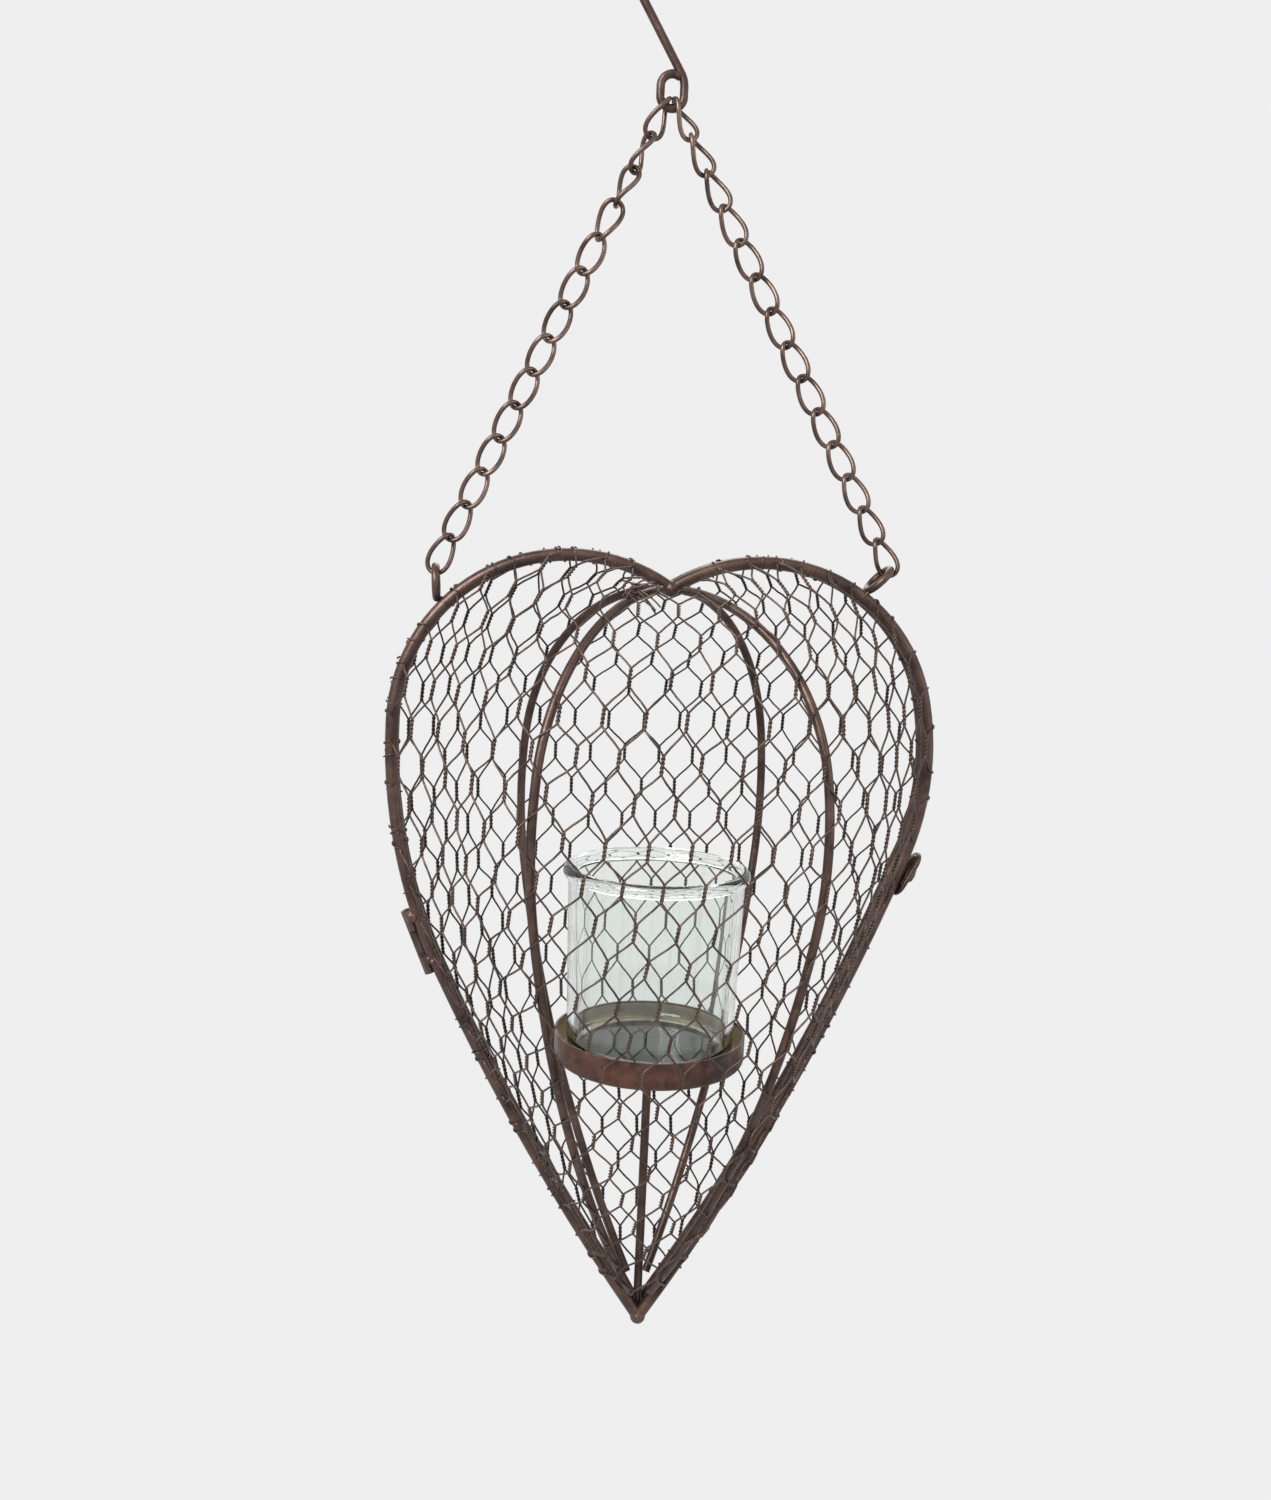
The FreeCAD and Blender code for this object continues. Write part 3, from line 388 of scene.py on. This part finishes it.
def drift(across, down, slope, lean, side_stretch):
    """Netting isn't stretched evenly: its rows run downhill, its columns lean, and both wander.

    The columns wander by waves of 1.6 and 0.9 mm, and the rows by one of 1.5 mm. Beyond SIDE_FROM
    the netting is pulled wider by side_stretch, and its upper rows are pulled apart over the
    shoulders: there a row lies higher by SHOULDER_PULL * exp(-down / SHOULDER_FADE).
    """
    wide = across + side_stretch * np.sign(across) * np.maximum(np.abs(across) - SIDE_FROM, 0)
    waves = 1.6 * np.sin(down / 47.0 + 0.6) + 0.9 * np.sin(down / 19.0)
    shifted = wide - lean * (down - LEAN_LEVEL) + waves
    lowered = down + slope * across + 1.5 * np.sin(across / 38.0 + 1.0)
    return shifted, lowered - SHOULDER_PULL * np.exp(-np.maximum(down, 0) / SHOULDER_FADE)


def cut_paths(surface, across, down):
    """Keeps the stretches of the wires on the surface, and ends each on the surface's edge.

    Returns a mask of kept points, their places, and the ends that meet the left or right side rod.
    """
    levels = surface["levels"]
    left = np.interp(down, levels, surface["edges"][:, 0])
    right = np.interp(down, levels, surface["edges"][:, 1])
    inside = (across > left) & (across < right) & (down > levels[0]) & (down < levels[-1])
    beside = np.zeros_like(inside)
    beside[:, 1:] |= inside[:, :-1]
    beside[:, :-1] |= inside[:, 1:]
    border = beside & ~inside
    keep = inside | border
    held = np.clip(across, left, right)
    on_level = (down > levels[0] + 2) & (down < levels[-1] - 2)
    ends = {
        -1: down[border & (across <= left) & on_level],
        1: down[border & (across >= right) & on_level],
    }
    return keep, held, np.clip(down, levels[0], levels[-1]), ends


def tube_mesh(points, normals, keep, radius):
    """Round tubes along rows of points, as vertices and faces.

    Round each point stands a ring of the tube, spanned by the line's side vector (tangent x normal)
    and by side x tangent. Rings of kept neighbours are joined, and open ends are closed by a face.
    """
    tangent = np.gradient(points, axis=1)
    tangent /= np.maximum(np.linalg.norm(tangent, axis=2, keepdims=True), 1e-9)
    side = np.cross(tangent, normals)
    side /= np.maximum(np.linalg.norm(side, axis=2, keepdims=True), 1e-9)
    up = np.cross(side, tangent)
    turn = np.arange(WIRE_SIDES) * 2 * math.pi / WIRE_SIDES
    ring = (
        side[:, :, None, :] * np.cos(turn)[None, None, :, None]
        + up[:, :, None, :] * np.sin(turn)[None, None, :, None]
    )
    vertices = points[:, :, None, :] + ring * radius
    number = np.full(keep.shape, -1)
    number[keep] = np.arange(keep.sum())
    joined = keep[:, :-1] & keep[:, 1:]
    first, second = number[:, :-1][joined], number[:, 1:][joined]
    here = np.arange(WIRE_SIDES)
    after = (here + 1) % WIRE_SIDES
    quads = np.stack(
        [
            first[:, None] * WIRE_SIDES + here,
            first[:, None] * WIRE_SIDES + after,
            second[:, None] * WIRE_SIDES + after,
            second[:, None] * WIRE_SIDES + here,
        ],
        2,
    ).reshape(-1, 4)
    starts = keep.copy()
    starts[:, 1:] &= ~keep[:, :-1]
    stops = keep.copy()
    stops[:, :-1] &= ~keep[:, 1:]
    open_caps = number[starts][:, None] * WIRE_SIDES + here[::-1]
    close_caps = number[stops][:, None] * WIRE_SIDES + here
    return vertices[keep].reshape(-1, 3), quads, np.concatenate([open_caps, close_caps])


def spread_out(places, gap):
    """Picks places one after another along a line, each at least a gap past the last one picked."""
    picked = np.zeros(len(places), bool)
    last = -gap
    for index in np.argsort(places):
        if places[index] - last >= gap:
            picked[index] = True
            last = places[index]
    return picked


def wrap_paths(surface, ends, rng):
    """Ends of the wires wound about once round the side rods, with free places between them.

    A wrap is a screw line round the rod: with the turned angle f it lies at
    rod + radius * (cos f * forward + sin f * outward) + advance * (f / full turn) * tangent.
    """
    paths, normals = [], []
    samples = 22
    share = np.linspace(0, 1, samples)
    for side, downs in ends.items():
        distance = np.interp(downs, surface["levels"], surface["distances"][side])
        x, z, dip = on_curve(SIDES[side], distance)
        far = (z > TIP_CLEAR) & (distance > CLEFT_CLEAR) & spread_out(distance, WRAP_GAP)
        falling = dip > 1
        far &= ~((side < 0) & (np.abs(z - HINGE_HEIGHT) < HINGE_CLEAR) & falling)
        far &= ~((side > 0) & (np.abs(z - CATCH_HEIGHT) < CATCH_CLEAR) & falling)
        x, z, dip = x[far], z[far], dip[far]
        turns = rng.uniform(0.7, 1.3, len(x))
        advance = rng.choice([-1.0, 1.0], len(x), p=[0.3, 0.7]) * rng.uniform(2.5, 8.0, len(x))
        angle = turns[:, None] * 2 * math.pi * share[None, :]
        forward = np.array([0.0, 1.0, 0.0])
        outward = np.stack([side * np.sin(dip), 0 * dip, np.cos(dip)], 1)[:, None, :]
        along = np.stack([side * np.cos(dip), 0 * dip, -np.sin(dip)], 1)[:, None, :]
        rod = np.stack([side * x, np.full_like(x, FRAME_OFFSET), z], 1)[:, None, :]
        spoke = np.cos(angle)[..., None] * forward + np.sin(angle)[..., None] * outward
        travel = (advance[:, None] * turns[:, None] * share[None, :])[..., None] * along
        paths.append(rod + WRAP_RADIUS * spoke + travel)
        normals.append(spoke)
    return np.concatenate(paths), np.concatenate(normals)


def tied_ends(rng):
    """Loose ends of the binding at the cleft: they fan out from one place and sag in a curve.

    With the share t along it, an end lies at root + reach * (t * heading - sag * t * t * upwards).
    """
    count, samples = 11, 12
    share = np.linspace(0, 1, samples)[None, :, None]
    turn = rng.uniform(0, 2 * math.pi, count)
    out = rng.uniform(0.25, 0.8, count)
    reach = rng.uniform(4.0, 12.0, count)[:, None, None]
    way = np.stack([np.cos(turn), out, np.sin(turn) * 0.8], 1)[:, None, :]
    way /= np.linalg.norm(way, axis=2, keepdims=True)
    sag = rng.uniform(-0.1, 0.5, count)[:, None, None]
    root = np.array(TIED_PLACE) + rng.normal(0, 0.8, (count, 1, 3))
    paths = root + reach * (share * way - sag * share**2 * np.array([0.0, 0.3, 1.0]))
    normals = np.broadcast_to(np.cross(way, np.array([0.13, 0.31, 0.94])), paths.shape)
    return paths, normals


def binding(rng):
    """Turns of wire that tie the ends together at the cleft: rings round a short bundle."""
    count, samples = 5, 17
    turn = np.linspace(0, 2 * math.pi * 0.97, samples)[None, :]
    place = np.array(TIED_PLACE) + rng.normal(0, 0.5, (count, 1, 3))
    tilt = rng.uniform(-0.6, 0.6, (count, 1))
    radius = rng.uniform(1.1, 1.7, (count, 1))
    ring = np.stack([np.cos(turn) * radius, np.sin(turn) * radius, np.cos(turn) * radius * tilt], 2)
    slide = np.linspace(-2.2, 2.2, count)[:, None, None] * np.array([0.35, 0.0, 1.0])
    return place + slide + ring, ring


def join_parts(parts):
    """Joins (vertices, quads, caps) into one set, counting the faces on."""
    vertices, quads, caps = [], [], []
    count = 0
    for part_vertices, part_quads, part_caps in parts:
        vertices.append(part_vertices)
        quads.append(part_quads + count)
        caps.append(part_caps + count)
        count += len(part_vertices)
    return np.concatenate(vertices), np.concatenate(quads), np.concatenate(caps)


def new_mesh(name, vertices, faces, flip=False):
    """Smooth mesh object from vertices in millimetres above the tip."""
    placed = (vertices - np.array([0, 0, DROP])) * MM
    mesh = bpy.data.meshes.new(name)
    if flip:
        faces = [face[::-1] for face in faces]
    mesh.from_pydata(placed.tolist(), [], faces)
    mesh.polygons.foreach_set("use_smooth", np.ones(len(mesh.polygons), bool))
    mesh.update()
    piece = bpy.data.objects.new(name, mesh)
    bpy.context.scene.collection.objects.link(piece)
    return piece


def make_netting(name, facing, seed, pitch, slope, lean, side_stretch):
    """Hexagonal wire netting over one half of the heart, its ends wound round the side rods."""
    rng = np.random.default_rng(seed)
    surface = net_surface()
    table = rng.normal(0, KNOT_SCATTER, (64, 128, 2))
    parts = []
    side_ends = {-1: [], 1: []}
    for hand in (1, -1):
        across, down, off = wire_paths(surface, hand, table, pitch)
        across, down = drift(across, down, slope, lean, side_stretch)
        down = level_at(surface, across, down)
        keep, across, down, ends = cut_paths(surface, across, down)
        normals = sample(surface, "normals", across, down)
        points = sample(surface, "points", across, down) + normals * off[..., None]
        parts.append(tube_mesh(points, normals, keep, WIRE / 2))
        for side in (-1, 1):
            side_ends[side].append(ends[side])
    ends = {side: np.concatenate(values) for side, values in side_ends.items()}
    wraps, spokes = wrap_paths(surface, ends, rng)
    loose = [(wraps, spokes)]
    if facing < 0:
        loose += [tied_ends(rng), binding(rng)]
    for paths, path_normals in loose:
        whole = np.ones(paths.shape[:2], bool)
        parts.append(tube_mesh(paths, path_normals, whole, WRAP_WIRE_RADIUS))
    vertices, quads, caps = join_parts(parts)
    vertices[:, 1] *= facing
    return new_mesh(name, vertices, quads.tolist() + caps.tolist(), flip=facing < 0)


def weld_ball(place, radius, seed):
    """Lump of weld: a sphere whose radius swells and sinks by a few waves, with closed poles."""
    rng = np.random.default_rng(seed)
    rows, columns = 14, 22
    polar = np.linspace(0, math.pi, rows + 1)[1:-1, None]
    around = np.arange(columns)[None, :] * 2 * math.pi / columns
    direction = np.stack(
        [
            np.sin(polar) * np.cos(around),
            np.sin(polar) * np.sin(around),
            np.cos(polar) + 0 * around,
        ],
        2,
    ).reshape(-1, 3)
    direction = np.concatenate([[[0.0, 0.0, 1.0]], direction, [[0.0, 0.0, -1.0]]])
    waves = rng.normal(0, 1.6, (5, 3))
    swell = 1 + 0.05 * np.sin(direction @ waves.T * 1.4 + rng.uniform(0, 6, 5)).sum(1)
    vertices = np.array(place) + direction * (radius * swell)[:, None]
    first = 1 + np.arange(rows - 2)[:, None] * columns
    here, after = np.arange(columns), (np.arange(columns) + 1) % columns
    quads = np.stack(
        [first + here, first + columns + here, first + columns + after, first + after], 2
    )
    last = 1 + (rows - 2) * columns
    top = np.stack([0 * here, 1 + here, 1 + after], 1)
    bottom = np.stack([0 * here + last + columns, last + after, last + here], 1)
    return vertices, quads.reshape(-1, 4).tolist() + top.tolist() + bottom.tolist()


def make_hinge_welds(name):
    """Lumps of weld where the outer knuckles meet the door's rod, in the groove in front."""
    up = np.array([-HINGE_DOWN[0], 0.0, -HINGE_DOWN[1]])
    inward = np.array([up[2], 0.0, -up[0]])
    vertices, faces, count = [], [], 0
    for seed, (along, in_by, forward, radius) in enumerate(WELD_LUMPS):
        place = np.array([HINGE_PLACE[0], 0.0, HINGE_PLACE[1]]) + up * along + inward * in_by
        ball, ball_faces = weld_ball(place - np.array([0.0, forward, 0.0]), radius, seed + 3)
        vertices.append(ball)
        faces += [[corner + count for corner in face] for face in ball_faces]
        count += len(ball)
    return new_mesh(name, np.concatenate(vertices), faces)


def make_catch_lobe(name):
    """Hammered body of the snap catch inside its loop of wire.

    It is a row of ovals along the rod, from the lower end up. Each reaches from beside the rod out
    to the profile's height: a low foot, a step up past the lower third and a slope to the top. Its
    inner side draws away from the rod by up to 1.6 mm over the upper half.
    """
    peak = first_fall(SIDES[1]) * FALL_FROM
    lowest = height_to_distance(SIDES[1], peak, np.array([CATCH_HEIGHT - CATCH_LENGTH / 2]))[0]
    x, z, dip = on_curve(SIDES[1], lowest)
    up = np.array([-math.cos(dip), 0.0, math.sin(dip)])
    out = np.array([math.sin(dip), 0.0, math.cos(dip)])
    rings, corners = 26, 20
    share = np.linspace(0, 1, rings)
    inner = ROD_RADIUS + CATCH_CLEARANCE + 1.6 * np.clip((share - 0.45) / 0.5, 0, 1)
    outer = ROD_RADIUS + np.interp(share, CATCH_SHARES, CATCH_HEIGHTS)
    rounding = np.sqrt(np.maximum(1 - (2 * share - 1) ** 8, 0.0))
    half_out = (outer - inner) / 2 * rounding
    half_wide = (CATCH_HALF_WIDTH + 0.5 * np.sin(share * 9.0)) * rounding
    height = CATCH_END_GAP + share * (CATCH_LENGTH - 2 * CATCH_END_GAP)
    centre = np.array([x, 0.0, z]) + up * height[:, None]
    centre = centre + out * ((outer + inner) / 2)[:, None]
    turn = np.arange(corners) * 2 * math.pi / corners
    ripple = 1 + 0.04 * np.sin(3 * turn[None, :] + 14 * share[:, None])
    ring = (
        centre[:, None, :]
        + out * (half_out[:, None] * np.cos(turn) * ripple)[..., None]
        + np.array([0.0, 1.0, 0.0]) * (half_wide[:, None] * np.sin(turn) * ripple)[..., None]
    )[1:-1]
    vertices = np.concatenate([ring.reshape(-1, 3), centre[:1], centre[-1:]])
    first = np.arange(rings - 3)[:, None] * corners
    here, after = np.arange(corners), (np.arange(corners) + 1) % corners
    quads = np.stack(
        [first + here, first + after, first + corners + after, first + corners + here], 2
    )
    last = (rings - 3) * corners
    foot = np.stack([0 * here + len(vertices) - 2, after, here], 1)
    head = np.stack([0 * here + len(vertices) - 1, last + here, last + after], 1)
    return new_mesh(name, vertices, quads.reshape(-1, 4).tolist() + foot.tolist() + head.tolist())


# Materials


def linear(code):
    """Linear colour of an sRGB hex code.

    A channel c gives c / 12.92 up to 0.04045, and above it ((c + 0.055) / 1.055) ** 2.4.
    """
    values = [int(code[k : k + 2], 16) / 255 for k in (1, 3, 5)]
    return [c / 12.92 if c <= 0.04045 else ((c + 0.055) / 1.055) ** 2.4 for c in values] + [1.0]


def add_node(tree, kind, settings=None, links=None):
    """Adds a node, sets its properties and input values, and links sockets into its inputs."""
    node = tree.nodes.new(kind)
    for key, value in (settings or {}).items():
        if isinstance(key, str) and hasattr(node, key):
            setattr(node, key, value)
        else:
            node.inputs[key].default_value = value
    for key, socket in (links or {}).items():
        tree.links.new(socket, node.inputs[key])
    return node


def new_material(name):
    material = bpy.data.materials.new(name)
    material.use_nodes = True
    tree = material.node_tree
    tree.nodes.clear()
    shader = add_node(tree, "ShaderNodeBsdfPrincipled")
    add_node(tree, "ShaderNodeOutputMaterial", links={"Surface": shader.outputs[0]})
    coords = add_node(tree, "ShaderNodeTexCoord").outputs["Object"]
    return material, tree, shader, coords


def noise(tree, coords, scale, detail=4.0, roughness=0.6):
    settings = {"Scale": scale, "Detail": detail, "Roughness": roughness}
    return add_node(tree, "ShaderNodeTexNoise", settings, {"Vector": coords}).outputs["Fac"]


def ramp(tree, factor, stops):
    """Colour ramp from (position, colour) stops."""
    node = add_node(tree, "ShaderNodeValToRGB", links={"Fac": factor})
    elements = node.color_ramp.elements
    while len(elements) < len(stops):
        elements.new(0.5)
    for element, (position, colour) in zip(elements, stops):
        element.position = position
        element.color = colour
    return node.outputs["Color"]


def grey(value):
    return [value, value, value, 1.0]


def mix_colour(tree, factor, first, second):
    node = add_node(tree, "ShaderNodeMix", {"data_type": "RGBA"})
    tree.links.new(factor, node.inputs[0])
    for socket, value in ((node.inputs[6], first), (node.inputs[7], second)):
        if isinstance(value, list):
            socket.default_value = value
        else:
            tree.links.new(value, socket)
    return node.outputs[2]


def calculate(tree, operation, first, second):
    """Sum, comparison or the like of two operands, each a number or a socket."""
    node = add_node(tree, "ShaderNodeMath", {"operation": operation})
    for socket, value in zip(node.inputs, (first, second)):
        if isinstance(value, float):
            socket.default_value = value
        else:
            tree.links.new(value, socket)
    return node.outputs[0]


def length_of(tree, x, y):
    """Length of the vector (x, y)."""
    both = add_node(tree, "ShaderNodeCombineXYZ", links={"X": x, "Y": y}).outputs[0]
    node = add_node(tree, "ShaderNodeVectorMath", {"operation": "LENGTH"}, {0: both})
    return node.outputs["Value"]


def add_bump(tree, shader, height, distance, strength=1.0):
    bump = add_node(
        tree, "ShaderNodeBump", {"Strength": strength, "Distance": distance}, {"Height": height}
    )
    tree.links.new(bump.outputs["Normal"], shader.inputs["Normal"])


def browned_steel(
    name, dark, mid, rust, rust_from=0.56, gloss=(0.36, 0.58), fine=900.0, metal=0.55
):
    """Steel with a browned, waxed finish: a mottled base, rust freckles and a fine pitted skin."""
    material, tree, shader, coords = new_material(name)
    mottle = ramp(
        tree, noise(tree, coords, 90.0), [(0.32, linear(dark)), (0.68, linear(mid))]
    )
    freckles = ramp(
        tree,
        noise(tree, coords, fine * 0.4, 6.0, 0.7),
        [(rust_from, grey(0.0)), (rust_from + 0.1, grey(0.85))],
    )
    tree.links.new(mix_colour(tree, freckles, mottle, linear(rust)), shader.inputs["Base Color"])
    shine = ramp(
        tree, noise(tree, coords, fine * 0.3), [(0.3, grey(gloss[0])), (0.75, grey(gloss[1]))]
    )
    tree.links.new(shine, shader.inputs["Roughness"])
    shader.inputs["Metallic"].default_value = metal
    add_bump(tree, shader, noise(tree, coords, fine, 5.0), 0.00012, 0.6)
    return material


def dish_sheet(name):
    """Rust-brown pressed sheet with dark patches on its right, and bare metal inside, painted paler
    than it is as painted light for the light that the glass jar keeps off it.

    Inside means below the lip and nearer to the bend's centre circle than the sheet's middle:
    length(max(radius - reach, 0), max(height - z, 0)) < middle holds for wall, bend and floor.
    """
    material, tree, shader, coords = new_material(name)
    parts = add_node(tree, "ShaderNodeSeparateXYZ", links={"Vector": coords}).outputs
    radius = length_of(tree, parts["X"], parts["Y"])
    past = calculate(tree, "SUBTRACT", radius, DISH_BEND_REACH * MM)
    past = calculate(tree, "MAXIMUM", past, 0.0)
    below = calculate(tree, "SUBTRACT", (DISH_BEND_HEIGHT - DROP) * MM, parts["Z"])
    below = calculate(tree, "MAXIMUM", below, 0.0)
    within = calculate(tree, "LESS_THAN", length_of(tree, past, below), DISH_BEND_MIDDLE * MM)
    lip = calculate(tree, "LESS_THAN", parts["Z"], (DISH_TOP - DISH_LIP - DROP) * MM)
    inside = calculate(tree, "MULTIPLY", within, lip)
    outer = ramp(
        tree,
        noise(tree, coords, 160.0, 6.0),
        [(0.35, linear("#38241e")), (0.65, linear("#664335"))],
    )
    span = {"From Min": DISH_DARK_FROM * MM, "From Max": DISH_DARK_FULL * MM}
    reach = add_node(tree, "ShaderNodeMapRange", span, {"Value": parts["X"]}).outputs[0]
    blotches = ramp(tree, noise(tree, coords, 110.0, 6.0), [(0.38, grey(0.0)), (0.5, grey(0.9))])
    patches = calculate(tree, "MULTIPLY", reach, blotches)
    outer = mix_colour(tree, patches, outer, linear("#1f1613"))
    # Bare metal inside, painted paler than its own colour: painted light standing in for the light
    # that the glass jar keeps off the inside
    inner = ramp(
        tree, noise(tree, coords, 60.0, 5.0), [(0.3, linear("#b3a184")), (0.7, linear("#dccdb0"))]
    )
    tree.links.new(mix_colour(tree, inside, outer, inner), shader.inputs["Base Color"])
    shine = ramp(tree, noise(tree, coords, 240.0), [(0.3, grey(0.3)), (0.7, grey(0.48))])
    tree.links.new(shine, shader.inputs["Roughness"])
    shader.inputs["Metallic"].default_value = 0.4
    add_bump(tree, shader, noise(tree, coords, 700.0, 5.0), 0.0001, 0.5)
    return material


def blown_glass(name):
    """Clear container glass with a faint green tint and slow waves from blowing."""
    material, tree, shader, coords = new_material(name)
    shader.inputs["Base Color"].default_value = linear("#f4f8f5")
    shader.inputs["Roughness"].default_value = 0.015
    shader.inputs["IOR"].default_value = 1.5
    shader.inputs["Transmission Weight"].default_value = 1.0
    mapping = add_node(tree, "ShaderNodeMapping", {"Scale": (1.0, 1.0, 0.25)}, {"Vector": coords})
    add_bump(tree, shader, noise(tree, mapping.outputs[0], 30.0, 0.0), 0.0003, 0.06)
    return material


ROD = browned_steel(
    "browned_rod_steel", "#3a2c27", "#604d44", "#7a5541", 0.62, (0.28, 0.48), metal=0.7
)
CHAIN = browned_steel(
    "browned_chain_wire", "#42352f", "#776459", "#7f6152", 0.64, (0.22, 0.38), metal=0.75
)
NETTING = {
    "front": browned_steel(
        "browned_netting_wire", "#332925", "#5f4d45", "#8a5f43", 0.57, (0.3, 0.48), 1400.0
    ),
    # Painted shade: the back netting is a darker copy of the front netting's finish, standing in
    # for the shade over the back half
    "back": browned_steel(
        "painted_shade_netting_wire", "#211a17", "#3a2e29", "#5c4030", 0.6, (0.4, 0.6), 1400.0, 0.4
    ),
}
PIN = browned_steel("worn_pin_steel", "#3a2f2a", "#5a4a40", "#6d5242", 0.6)
DISH = dish_sheet("pressed_dish_sheet")
GLASS = blown_glass("blown_jar_glass")


def finish_of(node):
    if node.startswith("chain_"):
        return CHAIN
    return {"candle_dish": DISH, "glass_jar": GLASS, "hinge_pin": PIN}.get(node, ROD)


for node_name, node_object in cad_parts.items():
    for material_slot in node_object.material_slots:
        material_slot.material = finish_of(node_name)

NET_SHAPES = {
    "front": dict(facing=-1, seed=11, pitch=14.8, slope=0.015, lean=0.105, side_stretch=0.08),
    "back": dict(facing=1, seed=12, pitch=15.4, slope=-0.02, lean=0.0, side_stretch=0.0),
}

for half, body in (("front", "door"), ("back", "lantern")):
    netting = make_netting(f"{half}_hexagon_netting", **NET_SHAPES[half])
    netting.data.materials.append(NETTING[half])
    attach(netting, body)
    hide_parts(f"{half}_netting")


for make, name, body in (
    (make_hinge_welds, "hinge_weld_lumps", "door"),
    (make_catch_lobe, "snap_catch_lobe", "lantern"),
):
    lump = make(name)
    lump.data.materials.append(ROD)
    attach(lump, body)


# Stage, light and camera


BACKDROP = 0.86


def make_floor():
    """Plain pale floor well below the part, in the backdrop's colour where it is seen."""
    half = 6.0
    level = -1.25
    mesh = bpy.data.meshes.new("floor")
    mesh.from_pydata(
        [(-half, -half, level), (half, -half, level), (half, half, level), (-half, half, level)],
        [],
        [(0, 1, 2, 3)],
    )
    floor = bpy.data.objects.new("floor", mesh)
    bpy.context.scene.collection.objects.link(floor)
    material, tree, shader, _ = new_material("pale_floor_paint")
    shader.inputs["Base Color"].default_value = grey(0.8)
    shader.inputs["Roughness"].default_value = 0.9
    plain = add_node(tree, "ShaderNodeEmission", {"Color": grey(BACKDROP), "Strength": 1.0})
    both = add_node(tree, "ShaderNodeMixShader")
    tree.links.new(seen_directly(tree), both.inputs[0])
    tree.links.new(shader.outputs[0], both.inputs[1])
    tree.links.new(plain.outputs[0], both.inputs[2])
    output = next(node for node in tree.nodes if node.bl_idname == "ShaderNodeOutputMaterial")
    tree.links.new(both.outputs[0], output.inputs["Surface"])
    mesh.materials.append(material)


def seen_directly(tree):
    """1 for rays from the camera, also through glass and off shining metal, else 0."""
    paths = add_node(tree, "ShaderNodeLightPath").outputs
    through = calculate(tree, "MAXIMUM", paths["Is Camera Ray"], paths["Is Transmission Ray"])
    return calculate(tree, "MAXIMUM", through, paths["Is Glossy Ray"])


def make_world():
    """Even pale surroundings, and a plain backdrop where the camera looks past the part."""
    world = bpy.data.worlds.new("studio")
    world.use_nodes = True
    tree = world.node_tree
    tree.nodes.clear()
    ambient = add_node(tree, "ShaderNodeBackground", {"Color": grey(0.86), "Strength": 0.5})
    plain = add_node(tree, "ShaderNodeBackground", {"Color": grey(BACKDROP), "Strength": 1.0})
    both = add_node(tree, "ShaderNodeMixShader")
    tree.links.new(seen_directly(tree), both.inputs[0])
    tree.links.new(ambient.outputs[0], both.inputs[1])
    tree.links.new(plain.outputs[0], both.inputs[2])
    add_node(tree, "ShaderNodeOutputWorld", links={"Surface": both.outputs[0]})
    bpy.context.scene.world = world


def add_light(name, place, target, width, power):
    """Square area light that faces a target."""
    light = bpy.data.lights.new(name, "AREA")
    light.size = width
    light.energy = power
    lamp = bpy.data.objects.new(name, light)
    lamp.location = place
    lamp.rotation_euler = (Vector(target) - Vector(place)).to_track_quat("-Z", "Y").to_euler()
    bpy.context.scene.collection.objects.link(lamp)


def make_camera():
    """Camera of the photograph, as fitted: angles in radians and the focal length in its pixels."""
    place = Vector((-72.2, -538.0, 313.2 - DROP)) * MM
    pan, tilt, roll, focal = 0.1137, 0.1393, 0.0436, 1387.0
    forward = Vector(
        (math.sin(pan) * math.cos(tilt), math.cos(pan) * math.cos(tilt), -math.sin(tilt))
    )
    level = Vector((math.cos(pan), -math.sin(pan), 0.0))
    upward = level.cross(forward)
    right = level * math.cos(roll) + upward * math.sin(roll)
    up = upward * math.cos(roll) - level * math.sin(roll)
    turn = Matrix((right, up, -forward)).transposed().to_4x4()
    data = bpy.data.cameras.new("camera")
    data.sensor_fit = "HORIZONTAL"
    data.sensor_width = 36.0
    data.lens = data.sensor_width * focal / PHOTO_WIDTH
    data.clip_start = 0.01
    camera = bpy.data.objects.new("camera", data)
    camera.matrix_world = Matrix.Translation(place) @ turn
    bpy.context.scene.collection.objects.link(camera)
    bpy.context.scene.camera = camera


make_floor()
make_world()
heart_middle = (0.0, 0.0, (170 - DROP) * MM)
add_light("key_light", (-1.2, -1.4, 0.9), heart_middle, 1.3, 58.0)
add_light("fill_light", (1.4, -0.9, 0.1), heart_middle, 1.4, 7.0)
add_light("rim_light", (0.3, 1.3, 0.8), heart_middle, 1.2, 12.0)
make_camera()
bpy.context.scene.view_settings.view_transform = "Standard"
